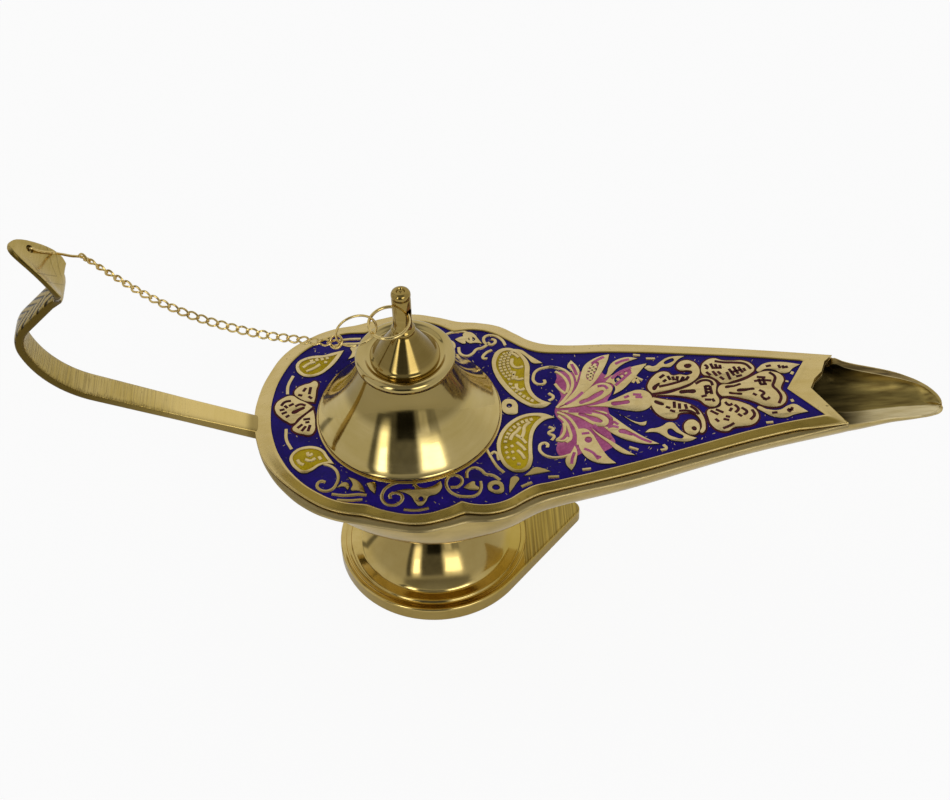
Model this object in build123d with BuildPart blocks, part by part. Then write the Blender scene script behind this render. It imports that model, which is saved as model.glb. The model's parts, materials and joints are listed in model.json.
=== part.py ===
"""Brass genie oil lamp: a boat-shaped bowl on a trumpet foot, an enamelled cover plate, a bell lid on a chain
and a cobra handle.

Millimetres, +Z up, +X towards the spout. The origin lies on the foot's underside, below the lid's axis.
"""

import os
from math import cos, hypot, radians, sin, tan

from build123d import *

os.makedirs("parts", exist_ok=True)

# Levels above the table
bowl_floor_z = 28.0         # underside of the bowl, where the foot is screwed on
seam_z = 57.0               # top of the bowl's wall, where the plate is soldered on
plate_thickness = 3.0
plate_top = seam_z + plate_thickness

# Outline of the plate's enamelled field: five overlapping lobes and a tapering tail. The casting is uneven,
# so the lobes and the tail lie a little to one side of the lid's axis.
rear_lobe_x, rear_lobe_y, rear_lobe_radius = -5.3, 1.0, 34.6
side_lobe_x, side_lobe_y, side_lobe_radius = 0.8, 16.8, 20.5
front_lobe_x, front_lobe_y, front_lobe_radius = 18.0, 12.5, 21.4
front_lobe_skew, front_lobe_shift = 1.1, -1.4
tail_start_half, tail_start_y = 28.4, -3.9             # half width and middle of the tail at the front lobes
shoulder_x = 124.0          # end of the plate, where the open spout begins
shoulder_half, shoulder_y = 9.2, 1.8
ogee_radius = 18.0          # hollow bend between the front lobes and the tail
wave_radius = 16.0          # hollow bends between the lobes, on the plate's outer edge
field_end_x = 116.0
field_notch = 6.5           # depth of the field's swallow tail
plate_notch = 8.5           # depth of the plate's swallow tail

# Plate
border_width = 4.4
border_crest = 1.6          # flat top of the border, before it slopes outwards
border_drop = 1.4
filler_radius = 19.5
seat_radius = 26.4          # raised ring round the filler hole, on which the lid rests
lid_inset = 0.4             # the lid's edge stands in from the seat's edge by this much

# Enamel
relief_depth = 0.6
enamel_thickness = 0.4
enamel_fit = 0.02
paisley_neck = (seat_radius + 3.2, 15.8, 5.6, seat_radius + 13.6, 2.6, 1.3)    # head x, y, radius, tail x, y, radius
paisley_rear = (-seat_radius - 2.8, 17.6, 3.0, -seat_radius + 6.1, 24.2, 1.1)
lotus_x = seat_radius + 16.1
lotus_petal_length, lotus_petal_width, lotus_petals, lotus_spread = 21.0, 7.0, 7, 150.0
flower_x, flower_petal_length, flower_petal_width, flower_petals = 89.0, 13.5, 7.4, 5
rear_flower_x, rear_petal_length, rear_petal_width, rear_petals, rear_spread = -27.6, 9.6, 6.2, 3, 104.0

# Bowl
wall = 2.2
wall_step = 0.8             # the bowl's wall stands in from the plate's edge by this much
foot_x = 5.5                # axis of the foot and of the bowl's belly
belly_floor_radius = 13.5
belly_mid_radius, belly_mid_z = 30.5, 41.2
belly_rim_reach, belly_rim_z = 0.3, 58.6               # the belly's rim passes the outline's rear by this much
trough = (                  # stations along the trough, with the levels of its walls' feet and of its keel
    (foot_x, 52.0, 32.0),
    (44.0, 51.5, 41.0),
    (90.0, 53.0, 46.0),
    (shoulder_x, 55.5, 48.5),
    (156.0, 56.0, 50.5),
)
keel_flare = 1.5            # the trough's sections are wider than the plate's edge by this much
bilge_share, bilge_rise = 0.5, 0.28                    # where the trough's flanks meet its round bottom

# Spout
spout_tip_x = 154.0
spout_tip_z = 52.4
spout_rim_mid = (141.0, 57.6)
leaf_belly_run, leaf_belly_half = 18.6, 4.0            # where the leaf's edge bulges, and how far it has drawn in

# Foot
foot_base_radius = 29.3
foot_base_thickness = 5.0
foot_tail_length, foot_tail_tip_radius, foot_tail_turn = 42.6, 2.9, 10.0
foot_rim_width = 1.8
foot_dish_depth = 1.5
foot_step_radius = 20.8
foot_stem_base_radius = 19.2
foot_stem_mid_radius, foot_stem_mid_z = 12.4, 13.5
foot_stem_top_radius = 9.6
foot_collar_radius, foot_collar_height = 10.8, 1.6

# Foot screw and its washer
screw_radius, screw_depth = 2.4, 14.0
screw_head_radius, screw_head_height, screw_slot = 4.3, 2.6, 1.0
thread_fit = 0.05
washer_radius, washer_thickness = 7.0, 1.2

# Lid
lid_radius = seat_radius - lid_inset
lid_edge_height = 1.3
lid_flare_radius, lid_flare_z = 24.7, 2.2              # heights on the lid are above the plate's top
lid_mid_radius, lid_mid_z = 17.9, 10.6
lid_neck_radius, lid_neck_z = 13.2, 21.2
lid_collar_radius, lid_collar_height = 13.85, 2.8
lid_wall = 2.0
lid_crown_thickness = 3.4
lid_skirt_depth = 5.0
lid_skirt_wall = 1.8
skirt_clearance = 0.3
seat_gap = 0.05

# Finial
cone_radius, cone_edge_height, cone_height = 9.5, 0.6, 7.4
bead_radius, bead_height = 3.15, 1.8
stem_radius, stem_height = 2.6, 13.2
cap_height = 1.6
stud_radius, stud_length = 2.0, 7.6
nut_across_flats, nut_height = 7.0, 3.0

# Rings and chain
ring_wire = 0.45            # wire radius of the two large rings
finial_ring_radius = 5.5
finial_ring_height = 17.0   # of the cross hole, above the lid's collar
finial_ring_turn = -41.0    # direction of the cross hole, seen from above
finial_ring_droop = 8.3
cross_hole_radius = 1.2
link_ring_radius = 5.8
link_ring_center = (-12.3, -6.0, 99.7)
link_ring_dip, link_ring_yaw, link_ring_roll = 30.0, -4.0, -56.5
chain_ring_radius, chain_ring_wire, chain_ring_shift = 1.75, 0.35, 0.75
chain_wire = 0.3
chain_link_half_width = 1.0
chain_play = 0.16
chain_links = 24
chain_twist = 45.0
chain_route = [
    (-80.4, 0.0, 125.2),
    (-74.4, -0.6, 119.2),
    (-66.0, -1.4, 111.4),
    (-57.0, -2.2, 105.5),
    (-47.5, -3.2, 101.3),
    (-37.5, -4.3, 98.3),
    (-28.0, -5.4, 96.9),
    (-18.7, -6.5, 96.0),
]

# Cobra handle
strap_thickness = 3.0
strap_root_width, strap_bend_width = 6.7, 8.5
strap_root_top_z = 59.3     # top of the strap at the plate's rear edge
strap_rise = 24.7           # degrees
strap_run = 46.0
strap_bend_radius, strap_bend_turn = 28.0, 50.3
neck_bend_radius, neck_bend_turn = 9.0, 59.6
neck_length = 14.8
hood_turn = 78.0
hood_thickness = 2.2
hood_length, hood_half_width, hood_neck_half = 19.6, 7.6, 3.9
hood_hole_height, hood_hole_radius = 15.2, 1.1
root_depth, root_drop = 3.4, 0.6
braze_gap = 0.1
hook_wire = 0.4
hook_tail = 2.4
hook_reach = 2.4
hook_bend = 0.9
hook_dip = (-86.0, 125.5)
eye_radius = 1.25


def tail_half(x):
    """Half width of the field's tail at a station along the lamp."""
    share = (x - front_lobe_x) / (shoulder_x - front_lobe_x)
    return tail_start_half + (shoulder_half - tail_start_half) * share


def tail_middle(x):
    """Where the middle of the tail or of the spout lies across the lamp at a station."""
    if x > shoulder_x:
        return shoulder_y * max(0, spout_tip_x - x) / (spout_tip_x - shoulder_x)
    share = (x - front_lobe_x) / (shoulder_x - front_lobe_x)
    return tail_start_y + (shoulder_y - tail_start_y) * share


def lobed_outline(grow, end_x, notch, waves=True):
    """The lobes and the tail as one outline, grown outwards by an amount. Waves soften the corners between lobes."""
    start_half, start_y = tail_half(front_lobe_x) + grow, tail_middle(front_lobe_x)
    end_half, end_y = tail_half(end_x) + grow, tail_middle(end_x)
    with BuildSketch() as outline:
        with Locations((rear_lobe_x, rear_lobe_y)):
            Circle(rear_lobe_radius + grow)
        with Locations((side_lobe_x, side_lobe_y), (side_lobe_x, -side_lobe_y)):
            Circle(side_lobe_radius + grow)
        with Locations(
            (front_lobe_x - front_lobe_skew, front_lobe_shift + front_lobe_y),
            (front_lobe_x + front_lobe_skew, front_lobe_shift - front_lobe_y),
        ):
            Circle(front_lobe_radius + grow)
        with BuildLine():
            Polyline(
                (front_lobe_x, start_y - start_half),
                (end_x, end_y - end_half),
                (end_x - notch, end_y),
                (end_x, end_y + end_half),
                (front_lobe_x, start_y + start_half),
                close=True,
            )
        make_face()
        corners = outline.vertices().filter_by(lambda corner: corner.X < front_lobe_x + 2 * front_lobe_radius)
        necks = corners.filter_by(lambda corner: corner.X > front_lobe_x)
        fillet(necks, radius=ogee_radius - grow)
        if waves:
            fillet([corner for corner in corners if corner.X < front_lobe_x], radius=wave_radius - grow)
    return outline.sketch


def spout_leaf(grow):
    """The spout's leaf shape, from the plate's end to the tip."""
    half, middle = tail_half(shoulder_x) + grow, tail_middle(shoulder_x)
    belly_x = shoulder_x + leaf_belly_run
    belly_half = half - leaf_belly_half
    tip = (spout_tip_x - (border_width - wall_step - grow), 0)
    with BuildSketch() as leaf:
        with BuildLine():
            Line((shoulder_x, middle - half), (shoulder_x, middle + half))
            for side in (1, -1):
                ThreePointArc(
                    (shoulder_x, middle + side * half), (belly_x, tail_middle(belly_x) + side * belly_half), tip
                )
        make_face()
    return leaf.sketch


def bowl_form(skin):
    """The bowl's outside as one solid, or its inside when a skin is taken off all round."""
    grow = border_width - wall_step - skin
    with BuildPart() as block:
        with BuildSketch(Plane.XY.offset(bowl_floor_z + skin)):
            add(lobed_outline(grow, shoulder_x, 0))
            add(spout_leaf(grow))
        extrude(amount=plate_top - bowl_floor_z)
    top_z = plate_top + skin + wall
    belly_rim_radius = foot_x - rear_lobe_x + rear_lobe_radius + border_width - wall_step + belly_rim_reach
    run = belly_rim_radius - belly_floor_radius
    rise = belly_rim_z - bowl_floor_z
    inward_r = -skin * rise / hypot(run, rise)
    inward_z = skin * run / hypot(run, rise)
    with BuildPart() as belly:
        with BuildSketch(Plane.XZ):
            with BuildLine():
                Polyline(
                    (foot_x + belly_rim_radius + inward_r, belly_rim_z + inward_z),
                    (foot_x + belly_rim_radius + inward_r, top_z),
                    (foot_x, top_z),
                    (foot_x, bowl_floor_z + skin),
                    (foot_x + belly_floor_radius, bowl_floor_z + skin),
                )
                ThreePointArc(
                    (foot_x + belly_floor_radius, bowl_floor_z + skin),
                    (foot_x + belly_mid_radius + inward_r, belly_mid_z + inward_z),
                    (foot_x + belly_rim_radius + inward_r, belly_rim_z + inward_z),
                )
            make_face()
        revolve(axis=Axis((foot_x, 0, 0), (0, 0, 1)))
    with BuildPart() as tail:
        for x, wall_z, keel_z in trough:
            half, middle = tail_half(x) + border_width + keel_flare - skin, tail_middle(x)
            bilge_half = bilge_share * half
            bilge_z = keel_z + skin + bilge_rise * (wall_z - keel_z)
            with BuildSketch(Plane.YZ.offset(x)):
                with BuildLine():
                    Polyline(
                        (middle + bilge_half, bilge_z),
                        (middle + half, wall_z + skin),
                        (middle + half, top_z),
                        (middle - half, top_z),
                        (middle - half, wall_z + skin),
                        (middle - bilge_half, bilge_z),
                    )
                    ThreePointArc(
                        (middle - bilge_half, bilge_z), (middle, keel_z + skin), (middle + bilge_half, bilge_z)
                    )
                make_face()
        loft()
    with BuildPart() as form:
        add(belly.part)
        add(tail.part)
        add(block.part, mode=Mode.INTERSECT)
    return form.part


# Bowl: lobed walls over a round belly and a keeled trough, open above at the spout
bowl_outside = bowl_form(0)
bowl_inside = bowl_form(wall)
with BuildPart() as bowl:
    add(bowl_outside)
    add(bowl_inside, mode=Mode.SUBTRACT)
    with BuildSketch(Plane.XY.offset(seam_z)):
        with Locations((shoulder_x, 0)):
            Rectangle(2 * shoulder_x, 4 * rear_lobe_radius, align=(Align.MAX, Align.CENTER))
    extrude(amount=2 * plate_thickness, mode=Mode.SUBTRACT)
    with BuildSketch(Plane.XZ):
        with BuildLine():
            ThreePointArc((shoulder_x, plate_top), spout_rim_mid, (spout_tip_x, spout_tip_z))
            Polyline(
                (spout_tip_x, spout_tip_z),
                (spout_tip_x + wall, spout_tip_z),
                (spout_tip_x + wall, plate_top + wall),
                (shoulder_x, plate_top + wall),
                (shoulder_x, plate_top),
            )
        make_face()
    extrude(amount=2 * shoulder_half + border_width, both=True, mode=Mode.SUBTRACT)
    with Locations((foot_x, 0, bowl_floor_z + wall)):
        Hole(screw_radius + thread_fit, depth=2 * wall)
bowl.part.label = "bowl"
export_step(bowl.part, "parts/bowl.step")


# Top plate: a raised border that slopes outwards round a sunk field, with the filler hole inside a seat
with BuildPart() as top_plate:
    with BuildSketch(Plane.XY.offset(seam_z)):
        add(lobed_outline(border_width, shoulder_x, plate_notch))
    extrude(amount=plate_thickness - border_drop)
    with BuildSketch(Plane.XY.offset(plate_top - border_drop)):
        add(lobed_outline(border_width, shoulder_x, plate_notch))
    with BuildSketch(Plane.XY.offset(plate_top)):
        add(lobed_outline(border_crest, shoulder_x, plate_notch))
    loft(ruled=True)
    with BuildSketch(Plane.XY.offset(plate_top - relief_depth)):
        add(lobed_outline(0, field_end_x, field_notch, waves=False))
        Circle(seat_radius, mode=Mode.SUBTRACT)
    extrude(amount=2 * relief_depth, mode=Mode.SUBTRACT)
    with Locations((0, 0, plate_top)):
        Hole(filler_radius)
top_plate.part.label = "top_plate"
export_step(top_plate.part, "parts/top_plate.step")


def paisleys(grow):
    """The four paisleys: two by the neck and two at the rear."""
    with BuildSketch() as drops:
        for side in (1, -1):
            for head_x, head_y, head_radius, tail_x, tail_y, tail_radius in (paisley_neck, paisley_rear):
                with BuildSketch(mode=Mode.PRIVATE) as drop:
                    with Locations((head_x, side * head_y)):
                        Circle(head_radius + grow)
                    with Locations((tail_x, side * tail_y)):
                        Circle(tail_radius + grow)
                    make_hull()
                add(drop.sketch)
        Circle(seat_radius + enamel_fit, mode=Mode.SUBTRACT)
        add(lobed_outline(-enamel_fit, field_end_x - enamel_fit, field_notch, waves=False), mode=Mode.INTERSECT)
    return drops.sketch


def petals(center_x, length, width, count, first_angle, spread, grow):
    """A fan of petals that spring from one point on the lamp's long axis."""
    with BuildSketch() as fan:
        with Locations((center_x, 0)):
            with PolarLocations(length / 2, count, first_angle, spread, endpoint=True):
                Ellipse(length / 2 + grow, width / 2 + grow)
        Circle(seat_radius + enamel_fit, mode=Mode.SUBTRACT)
        add(lobed_outline(-enamel_fit, field_end_x - enamel_fit, field_notch, waves=False), mode=Mode.INTERSECT)
    return fan.sketch


def lotus(grow):
    """The lotus, open towards the spout."""
    first = -lotus_spread / 2
    return petals(lotus_x, lotus_petal_length, lotus_petal_width, lotus_petals, first, lotus_spread, grow)


def round_flower(grow):
    """The round flower on the tail."""
    spread = 360 * (1 - 1 / flower_petals)
    return petals(flower_x, flower_petal_length, flower_petal_width, flower_petals, 0, spread, grow)


def half_flower(grow):
    """The half flower behind the lid."""
    first = 180 - rear_spread / 2
    return petals(rear_flower_x, rear_petal_length, rear_petal_width, rear_petals, first, rear_spread, grow)


# Enamel: each colour lies on the floor of the sunk field, and the blue ground leaves room for the others
enamel_plane = Plane.XY.offset(plate_top - relief_depth)

with BuildPart() as blue_enamel:
    with BuildSketch(enamel_plane):
        add(lobed_outline(-enamel_fit, field_end_x - enamel_fit, field_notch, waves=False))
        Circle(seat_radius + enamel_fit, mode=Mode.SUBTRACT)
        for motif in (paisleys, lotus, round_flower, half_flower):
            add(motif(enamel_fit), mode=Mode.SUBTRACT)
    extrude(amount=enamel_thickness)
blue_enamel.part.label = "blue_enamel"
export_step(blue_enamel.part, "parts/blue_enamel.step")

with BuildPart() as yellow_enamel:
    with BuildSketch(enamel_plane):
        add(paisleys(0))
        add(lotus(enamel_fit), mode=Mode.SUBTRACT)
    extrude(amount=enamel_thickness)
yellow_enamel.part.label = "yellow_enamel"
export_step(yellow_enamel.part, "parts/yellow_enamel.step")

with BuildPart() as pink_enamel:
    with BuildSketch(enamel_plane):
        add(lotus(0))
    extrude(amount=enamel_thickness)
pink_enamel.part.label = "pink_enamel"
export_step(pink_enamel.part, "parts/pink_enamel.step")

with BuildPart() as maroon_enamel:
    with BuildSketch(enamel_plane):
        add(round_flower(0))
        add(half_flower(0))
        add(paisleys(enamel_fit), mode=Mode.SUBTRACT)
    extrude(amount=enamel_thickness)
maroon_enamel.part.label = "maroon_enamel"
export_step(maroon_enamel.part, "parts/maroon_enamel.step")


# Foot: a teardrop base, dished on top, and a trumpet stem turned on the same axis
foot_axis = Axis((foot_x, 0, 0), (0, 0, 1))
with BuildPart() as foot:
    with BuildSketch():
        with Locations((foot_x, 0)):
            Circle(foot_base_radius)
            with PolarLocations(foot_tail_length, 1, foot_tail_turn):
                Circle(foot_tail_tip_radius)
        make_hull()
    extrude(amount=foot_base_thickness)
    dish_radius = foot_base_radius - foot_rim_width
    with BuildSketch(Plane.XZ):
        with BuildLine():
            Line((foot_x, foot_base_thickness), (foot_x + dish_radius, foot_base_thickness))
            ThreePointArc(
                (foot_x + dish_radius, foot_base_thickness),
                (foot_x + (dish_radius + foot_step_radius) / 2, foot_base_thickness - 0.7 * foot_dish_depth),
                (foot_x + foot_step_radius, foot_base_thickness - foot_dish_depth),
            )
            Polyline(
                (foot_x + foot_step_radius, foot_base_thickness - foot_dish_depth),
                (foot_x, foot_base_thickness - foot_dish_depth),
                (foot_x, foot_base_thickness),
            )
        make_face()
    revolve(axis=foot_axis, mode=Mode.SUBTRACT)
    collar_z = bowl_floor_z - foot_collar_height
    with BuildSketch(Plane.XZ):
        with BuildLine():
            Polyline(
                (foot_x + foot_collar_radius, collar_z),
                (foot_x + foot_collar_radius, bowl_floor_z),
                (foot_x, bowl_floor_z),
                (foot_x, foot_base_thickness - foot_dish_depth),
                (foot_x + foot_step_radius, foot_base_thickness - foot_dish_depth),
                (foot_x + foot_step_radius, foot_base_thickness),
                (foot_x + foot_stem_base_radius, foot_base_thickness),
            )
            ThreePointArc(
                (foot_x + foot_stem_base_radius, foot_base_thickness),
                (foot_x + foot_stem_mid_radius, foot_stem_mid_z),
                (foot_x + foot_stem_top_radius, collar_z),
            )
            Line((foot_x + foot_stem_top_radius, collar_z), (foot_x + foot_collar_radius, collar_z))
        make_face()
    revolve(axis=foot_axis)
    with Locations((foot_x, 0, bowl_floor_z)):
        Hole(screw_radius + thread_fit, depth=screw_depth)
foot.part.label = "foot"
export_step(foot.part, "parts/foot.step")


# Foot screw and sealing washer: the screw goes down through the bowl's floor into the stem
floor_top = bowl_floor_z + wall
with BuildPart() as sealing_washer:
    with BuildSketch(Plane.XY.offset(floor_top)):
        with Locations((foot_x, 0)):
            Circle(washer_radius)
            Circle(screw_radius + thread_fit, mode=Mode.SUBTRACT)
    extrude(amount=washer_thickness)
sealing_washer.part.label = "sealing_washer"
export_step(sealing_washer.part, "parts/sealing_washer.step")

with BuildPart() as foot_screw:
    with BuildSketch(Plane.XY.offset(floor_top + washer_thickness)):
        with Locations((foot_x, 0)):
            Circle(screw_head_radius)
    extrude(amount=screw_head_height)
    with BuildSketch(Plane.XY.offset(floor_top + washer_thickness + screw_head_height / 2)):
        with Locations((foot_x, 0)):
            Rectangle(3 * screw_head_radius, screw_slot)
    extrude(amount=screw_head_height, mode=Mode.SUBTRACT)
    with BuildSketch(Plane.XY.offset(floor_top + washer_thickness)):
        with Locations((foot_x, 0)):
            Circle(screw_radius)
    extrude(amount=-(washer_thickness + wall + screw_depth - screw_radius))
foot_screw.part.label = "foot_screw"
export_step(foot_screw.part, "parts/foot_screw.step")


# Lid: a turned bell with a collar, hollow inside, and a skirt that stands in the filler hole
lid_base = plate_top + seat_gap
collar_top = lid_base + lid_neck_z + lid_collar_height
skirt_radius = filler_radius - skirt_clearance
skirt_inside = skirt_radius - lid_skirt_wall
with BuildPart() as lid:
    with BuildSketch(Plane.XZ):
        with BuildLine():
            Polyline(
                (lid_radius, lid_base),
                (lid_radius, lid_base + lid_edge_height),
                (lid_flare_radius, lid_base + lid_flare_z),
            )
            ThreePointArc(
                (lid_flare_radius, lid_base + lid_flare_z),
                (lid_mid_radius, lid_base + lid_mid_z),
                (lid_neck_radius, lid_base + lid_neck_z),
            )
            ThreePointArc(
                (lid_neck_radius, lid_base + lid_neck_z),
                (lid_collar_radius, lid_base + lid_neck_z + lid_collar_height / 2),
                (lid_neck_radius, collar_top),
            )
            Polyline(
                (lid_neck_radius, collar_top),
                (stud_radius + thread_fit, collar_top),
                (stud_radius + thread_fit, collar_top - lid_crown_thickness),
                (lid_neck_radius - lid_wall, collar_top - lid_crown_thickness),
            )
            ThreePointArc(
                (lid_neck_radius - lid_wall, collar_top - lid_crown_thickness),
                (lid_mid_radius - lid_wall, lid_base + lid_mid_z),
                (skirt_inside, lid_base + lid_flare_z),
            )
            Polyline(
                (skirt_inside, lid_base + lid_flare_z),
                (skirt_inside, lid_base - lid_skirt_depth),
                (skirt_radius, lid_base - lid_skirt_depth),
                (skirt_radius, lid_base),
                (lid_radius, lid_base),
            )
        make_face()
    revolve(axis=Axis.Z)
lid.part.label = "lid"
export_step(lid.part, "parts/lid.step")


# Finial: a cone, a bead and a stem with a rounded cap, turned in one piece with its stud
cross_hole_z = collar_top + finial_ring_height
hole_direction = Vector(cos(radians(finial_ring_turn)), sin(radians(finial_ring_turn)), 0)
cone_top = collar_top + cone_edge_height + cone_height
bead_top = cone_top + bead_height
stem_top = bead_top + stem_height
with BuildPart() as finial:
    with BuildSketch(Plane.XZ):
        with BuildLine():
            Polyline(
                (0, collar_top - stud_length),
                (stud_radius, collar_top - stud_length),
                (stud_radius, collar_top),
                (cone_radius, collar_top),
                (cone_radius, collar_top + cone_edge_height),
                (stem_radius, cone_top),
            )
            ThreePointArc((stem_radius, cone_top), (bead_radius, cone_top + bead_height / 2), (stem_radius, bead_top))
            Polyline(
                (stem_radius, bead_top),
                (stem_radius, stem_top + cap_height),
                (0, stem_top + cap_height),
                (0, collar_top - stud_length),
            )
        make_face()
    revolve(axis=Axis.Z)
    fillet(finial.edges().group_by(Axis.Z)[-1], radius=cap_height)
    with BuildSketch(Plane(origin=(0, 0, cross_hole_z), z_dir=hole_direction)):
        Circle(cross_hole_radius)
    extrude(amount=2 * stem_radius, both=True, mode=Mode.SUBTRACT)
finial.part.label = "finial"
export_step(finial.part, "parts/finial.step")

with BuildPart() as finial_nut:
    with BuildSketch(Plane.XY.offset(collar_top - lid_crown_thickness)):
        RegularPolygon(nut_across_flats / 2, 6, major_radius=False)
        Circle(stud_radius + thread_fit, mode=Mode.SUBTRACT)
    extrude(amount=-nut_height)
finial_nut.part.label = "finial_nut"
export_step(finial_nut.part, "parts/finial_nut.step")


def wire_ring(center, out, across, radius, wire):
    """A closed wire ring in the plane of two square directions."""
    frame = Plane(origin=center, x_dir=out, z_dir=Vector(out).cross(Vector(across)))
    with BuildPart() as ring:
        with BuildSketch(Plane(origin=center, x_dir=out, z_dir=frame.y_dir)):
            with Locations((radius, 0)):
                Circle(wire)
        revolve(axis=Axis(center, frame.z_dir))
    return ring.part


# Finial ring: hangs in the stem's cross hole, leaning towards the chain
droop = radians(finial_ring_droop)
lean = Vector(hole_direction.Y * cos(droop), -hole_direction.X * cos(droop), -sin(droop))
finial_ring_center = Vector(0, 0, cross_hole_z) + lean * finial_ring_radius
finial_ring = wire_ring(finial_ring_center, lean, hole_direction, finial_ring_radius, ring_wire)
finial_ring.label = "finial_ring"
export_step(finial_ring, "parts/finial_ring.step")


# Link ring: hooked through the finial ring and pulled towards the chain
dip, yaw, roll = radians(link_ring_dip), radians(link_ring_yaw), radians(link_ring_roll)
pull = Vector(-cos(dip) * cos(yaw), cos(dip) * sin(yaw), -sin(dip))
level = pull.cross(Vector(0, 0, 1)).normalized()
across = level * cos(roll) + level.cross(pull) * sin(roll)
link_ring = wire_ring(link_ring_center, pull, across, link_ring_radius, ring_wire)
link_ring.label = "link_ring"
export_step(link_ring, "parts/link_ring.step")

# Chain ring: a small jump ring between the link ring and the last link of the chain
link_ring_end = Vector(*link_ring_center) + pull * link_ring_radius
chain_ring_center = link_ring_end + pull * chain_ring_shift
chain_ring = wire_ring(chain_ring_center, pull, pull.cross(across), chain_ring_radius, chain_ring_wire)
chain_ring.label = "chain_ring"
export_step(chain_ring, "parts/chain_ring.step")


def route_radii(points):
    """The largest bends that a route's runs leave room for."""
    radii = []
    for before, here, after in zip(points, points[1:], points[2:]):
        run_in = Vector(*here) - Vector(*before)
        run_out = Vector(*after) - Vector(*here)
        half_turn = radians(run_in.get_angle(run_out)) / 2
        radii.append(0.45 * min(run_in.length, run_out.length) / tan(half_turn))
    return radii


# Chain: oval links along the route, each turned a quarter against the one before
chain_radii = route_radii(chain_route)
print("chain bend radii, mm:", [round(radius, 1) for radius in chain_radii])
with BuildLine() as chain_path:
    FilletPolyline(*chain_route, radius=chain_radii)
chain_wire_path = chain_path.wires()[0]
chain_length = chain_wire_path.length
print("chain length, mm:", round(chain_length, 1))
chain_pitch = (chain_length - 2 * chain_wire - chain_play) / chain_links
link_half_length = (chain_pitch + 2 * chain_wire + chain_play) / 2
link_straight = link_half_length - chain_link_half_width


def chain_link(frame):
    """One oval link in a plane, long along the plane's x direction."""
    with BuildPart() as link:
        with BuildLine(frame) as half_oval:
            Line((0, chain_link_half_width), (link_straight, chain_link_half_width))
            ThreePointArc(
                (link_straight, chain_link_half_width), (link_half_length, 0), (link_straight, -chain_link_half_width)
            )
            Line((link_straight, -chain_link_half_width), (0, -chain_link_half_width))
        start = frame.from_local_coords((0, chain_link_half_width, 0))
        with BuildSketch(Plane(origin=start, z_dir=frame.x_dir)):
            Circle(chain_wire)
        sweep(path=half_oval.wires()[0])
        mirror(about=Plane(origin=frame.origin, z_dir=frame.x_dir))
    return link.part


links = []
for index in range(chain_links):
    share = (link_half_length + index * chain_pitch) / chain_length
    place = chain_wire_path @ share
    along = chain_wire_path % share
    sideways = Vector(0, 0, 1).cross(along).normalized()
    upright = along.cross(sideways)
    turn = radians(90 * index + chain_twist * index / (chain_links - 1))
    spread = sideways * cos(turn) + upright * sin(turn)
    links.append(chain_link(Plane(origin=place, x_dir=along, z_dir=along.cross(spread))))
chain = Compound(children=links)
chain.label = "chain"
export_step(chain, "parts/chain.step")


# Cobra handle: a strap that rises from the plate's rear edge, bends over and ends in a flat hood
rear_edge_x = rear_lobe_x - rear_lobe_radius - border_width
rise_direction = (-cos(radians(strap_rise)), sin(radians(strap_rise)))
strap_start = (
    rear_edge_x - strap_thickness / 2 * sin(radians(strap_rise)),
    strap_root_top_z - strap_thickness / 2 * cos(radians(strap_rise)),
)
with BuildLine() as strap_line:
    root_run = Line(
        strap_start,
        (strap_start[0] + strap_run * rise_direction[0], strap_start[1] + strap_run * rise_direction[1]),
    )
    bend = JernArc(root_run @ 1, root_run % 1, strap_bend_radius, -strap_bend_turn)
    neck_bend = JernArc(bend @ 1, bend % 1, neck_bend_radius, -neck_bend_turn)
    neck = PolarLine(neck_bend @ 1, neck_length, direction=neck_bend % 1)
neck_end = Vector((neck @ 1).X, 0, (neck @ 1).Y)
hood_angle = radians(180 - strap_rise - strap_bend_turn - neck_bend_turn + hood_turn)
hood_direction = Vector(cos(hood_angle), 0, sin(hood_angle))
hood_normal = Vector(0, 1, 0).cross(hood_direction)
hood_back = neck_end - hood_normal * (hood_thickness / 2)
hood_plane = Plane(origin=hood_back, x_dir=(0, 1, 0), z_dir=hood_normal)

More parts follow.
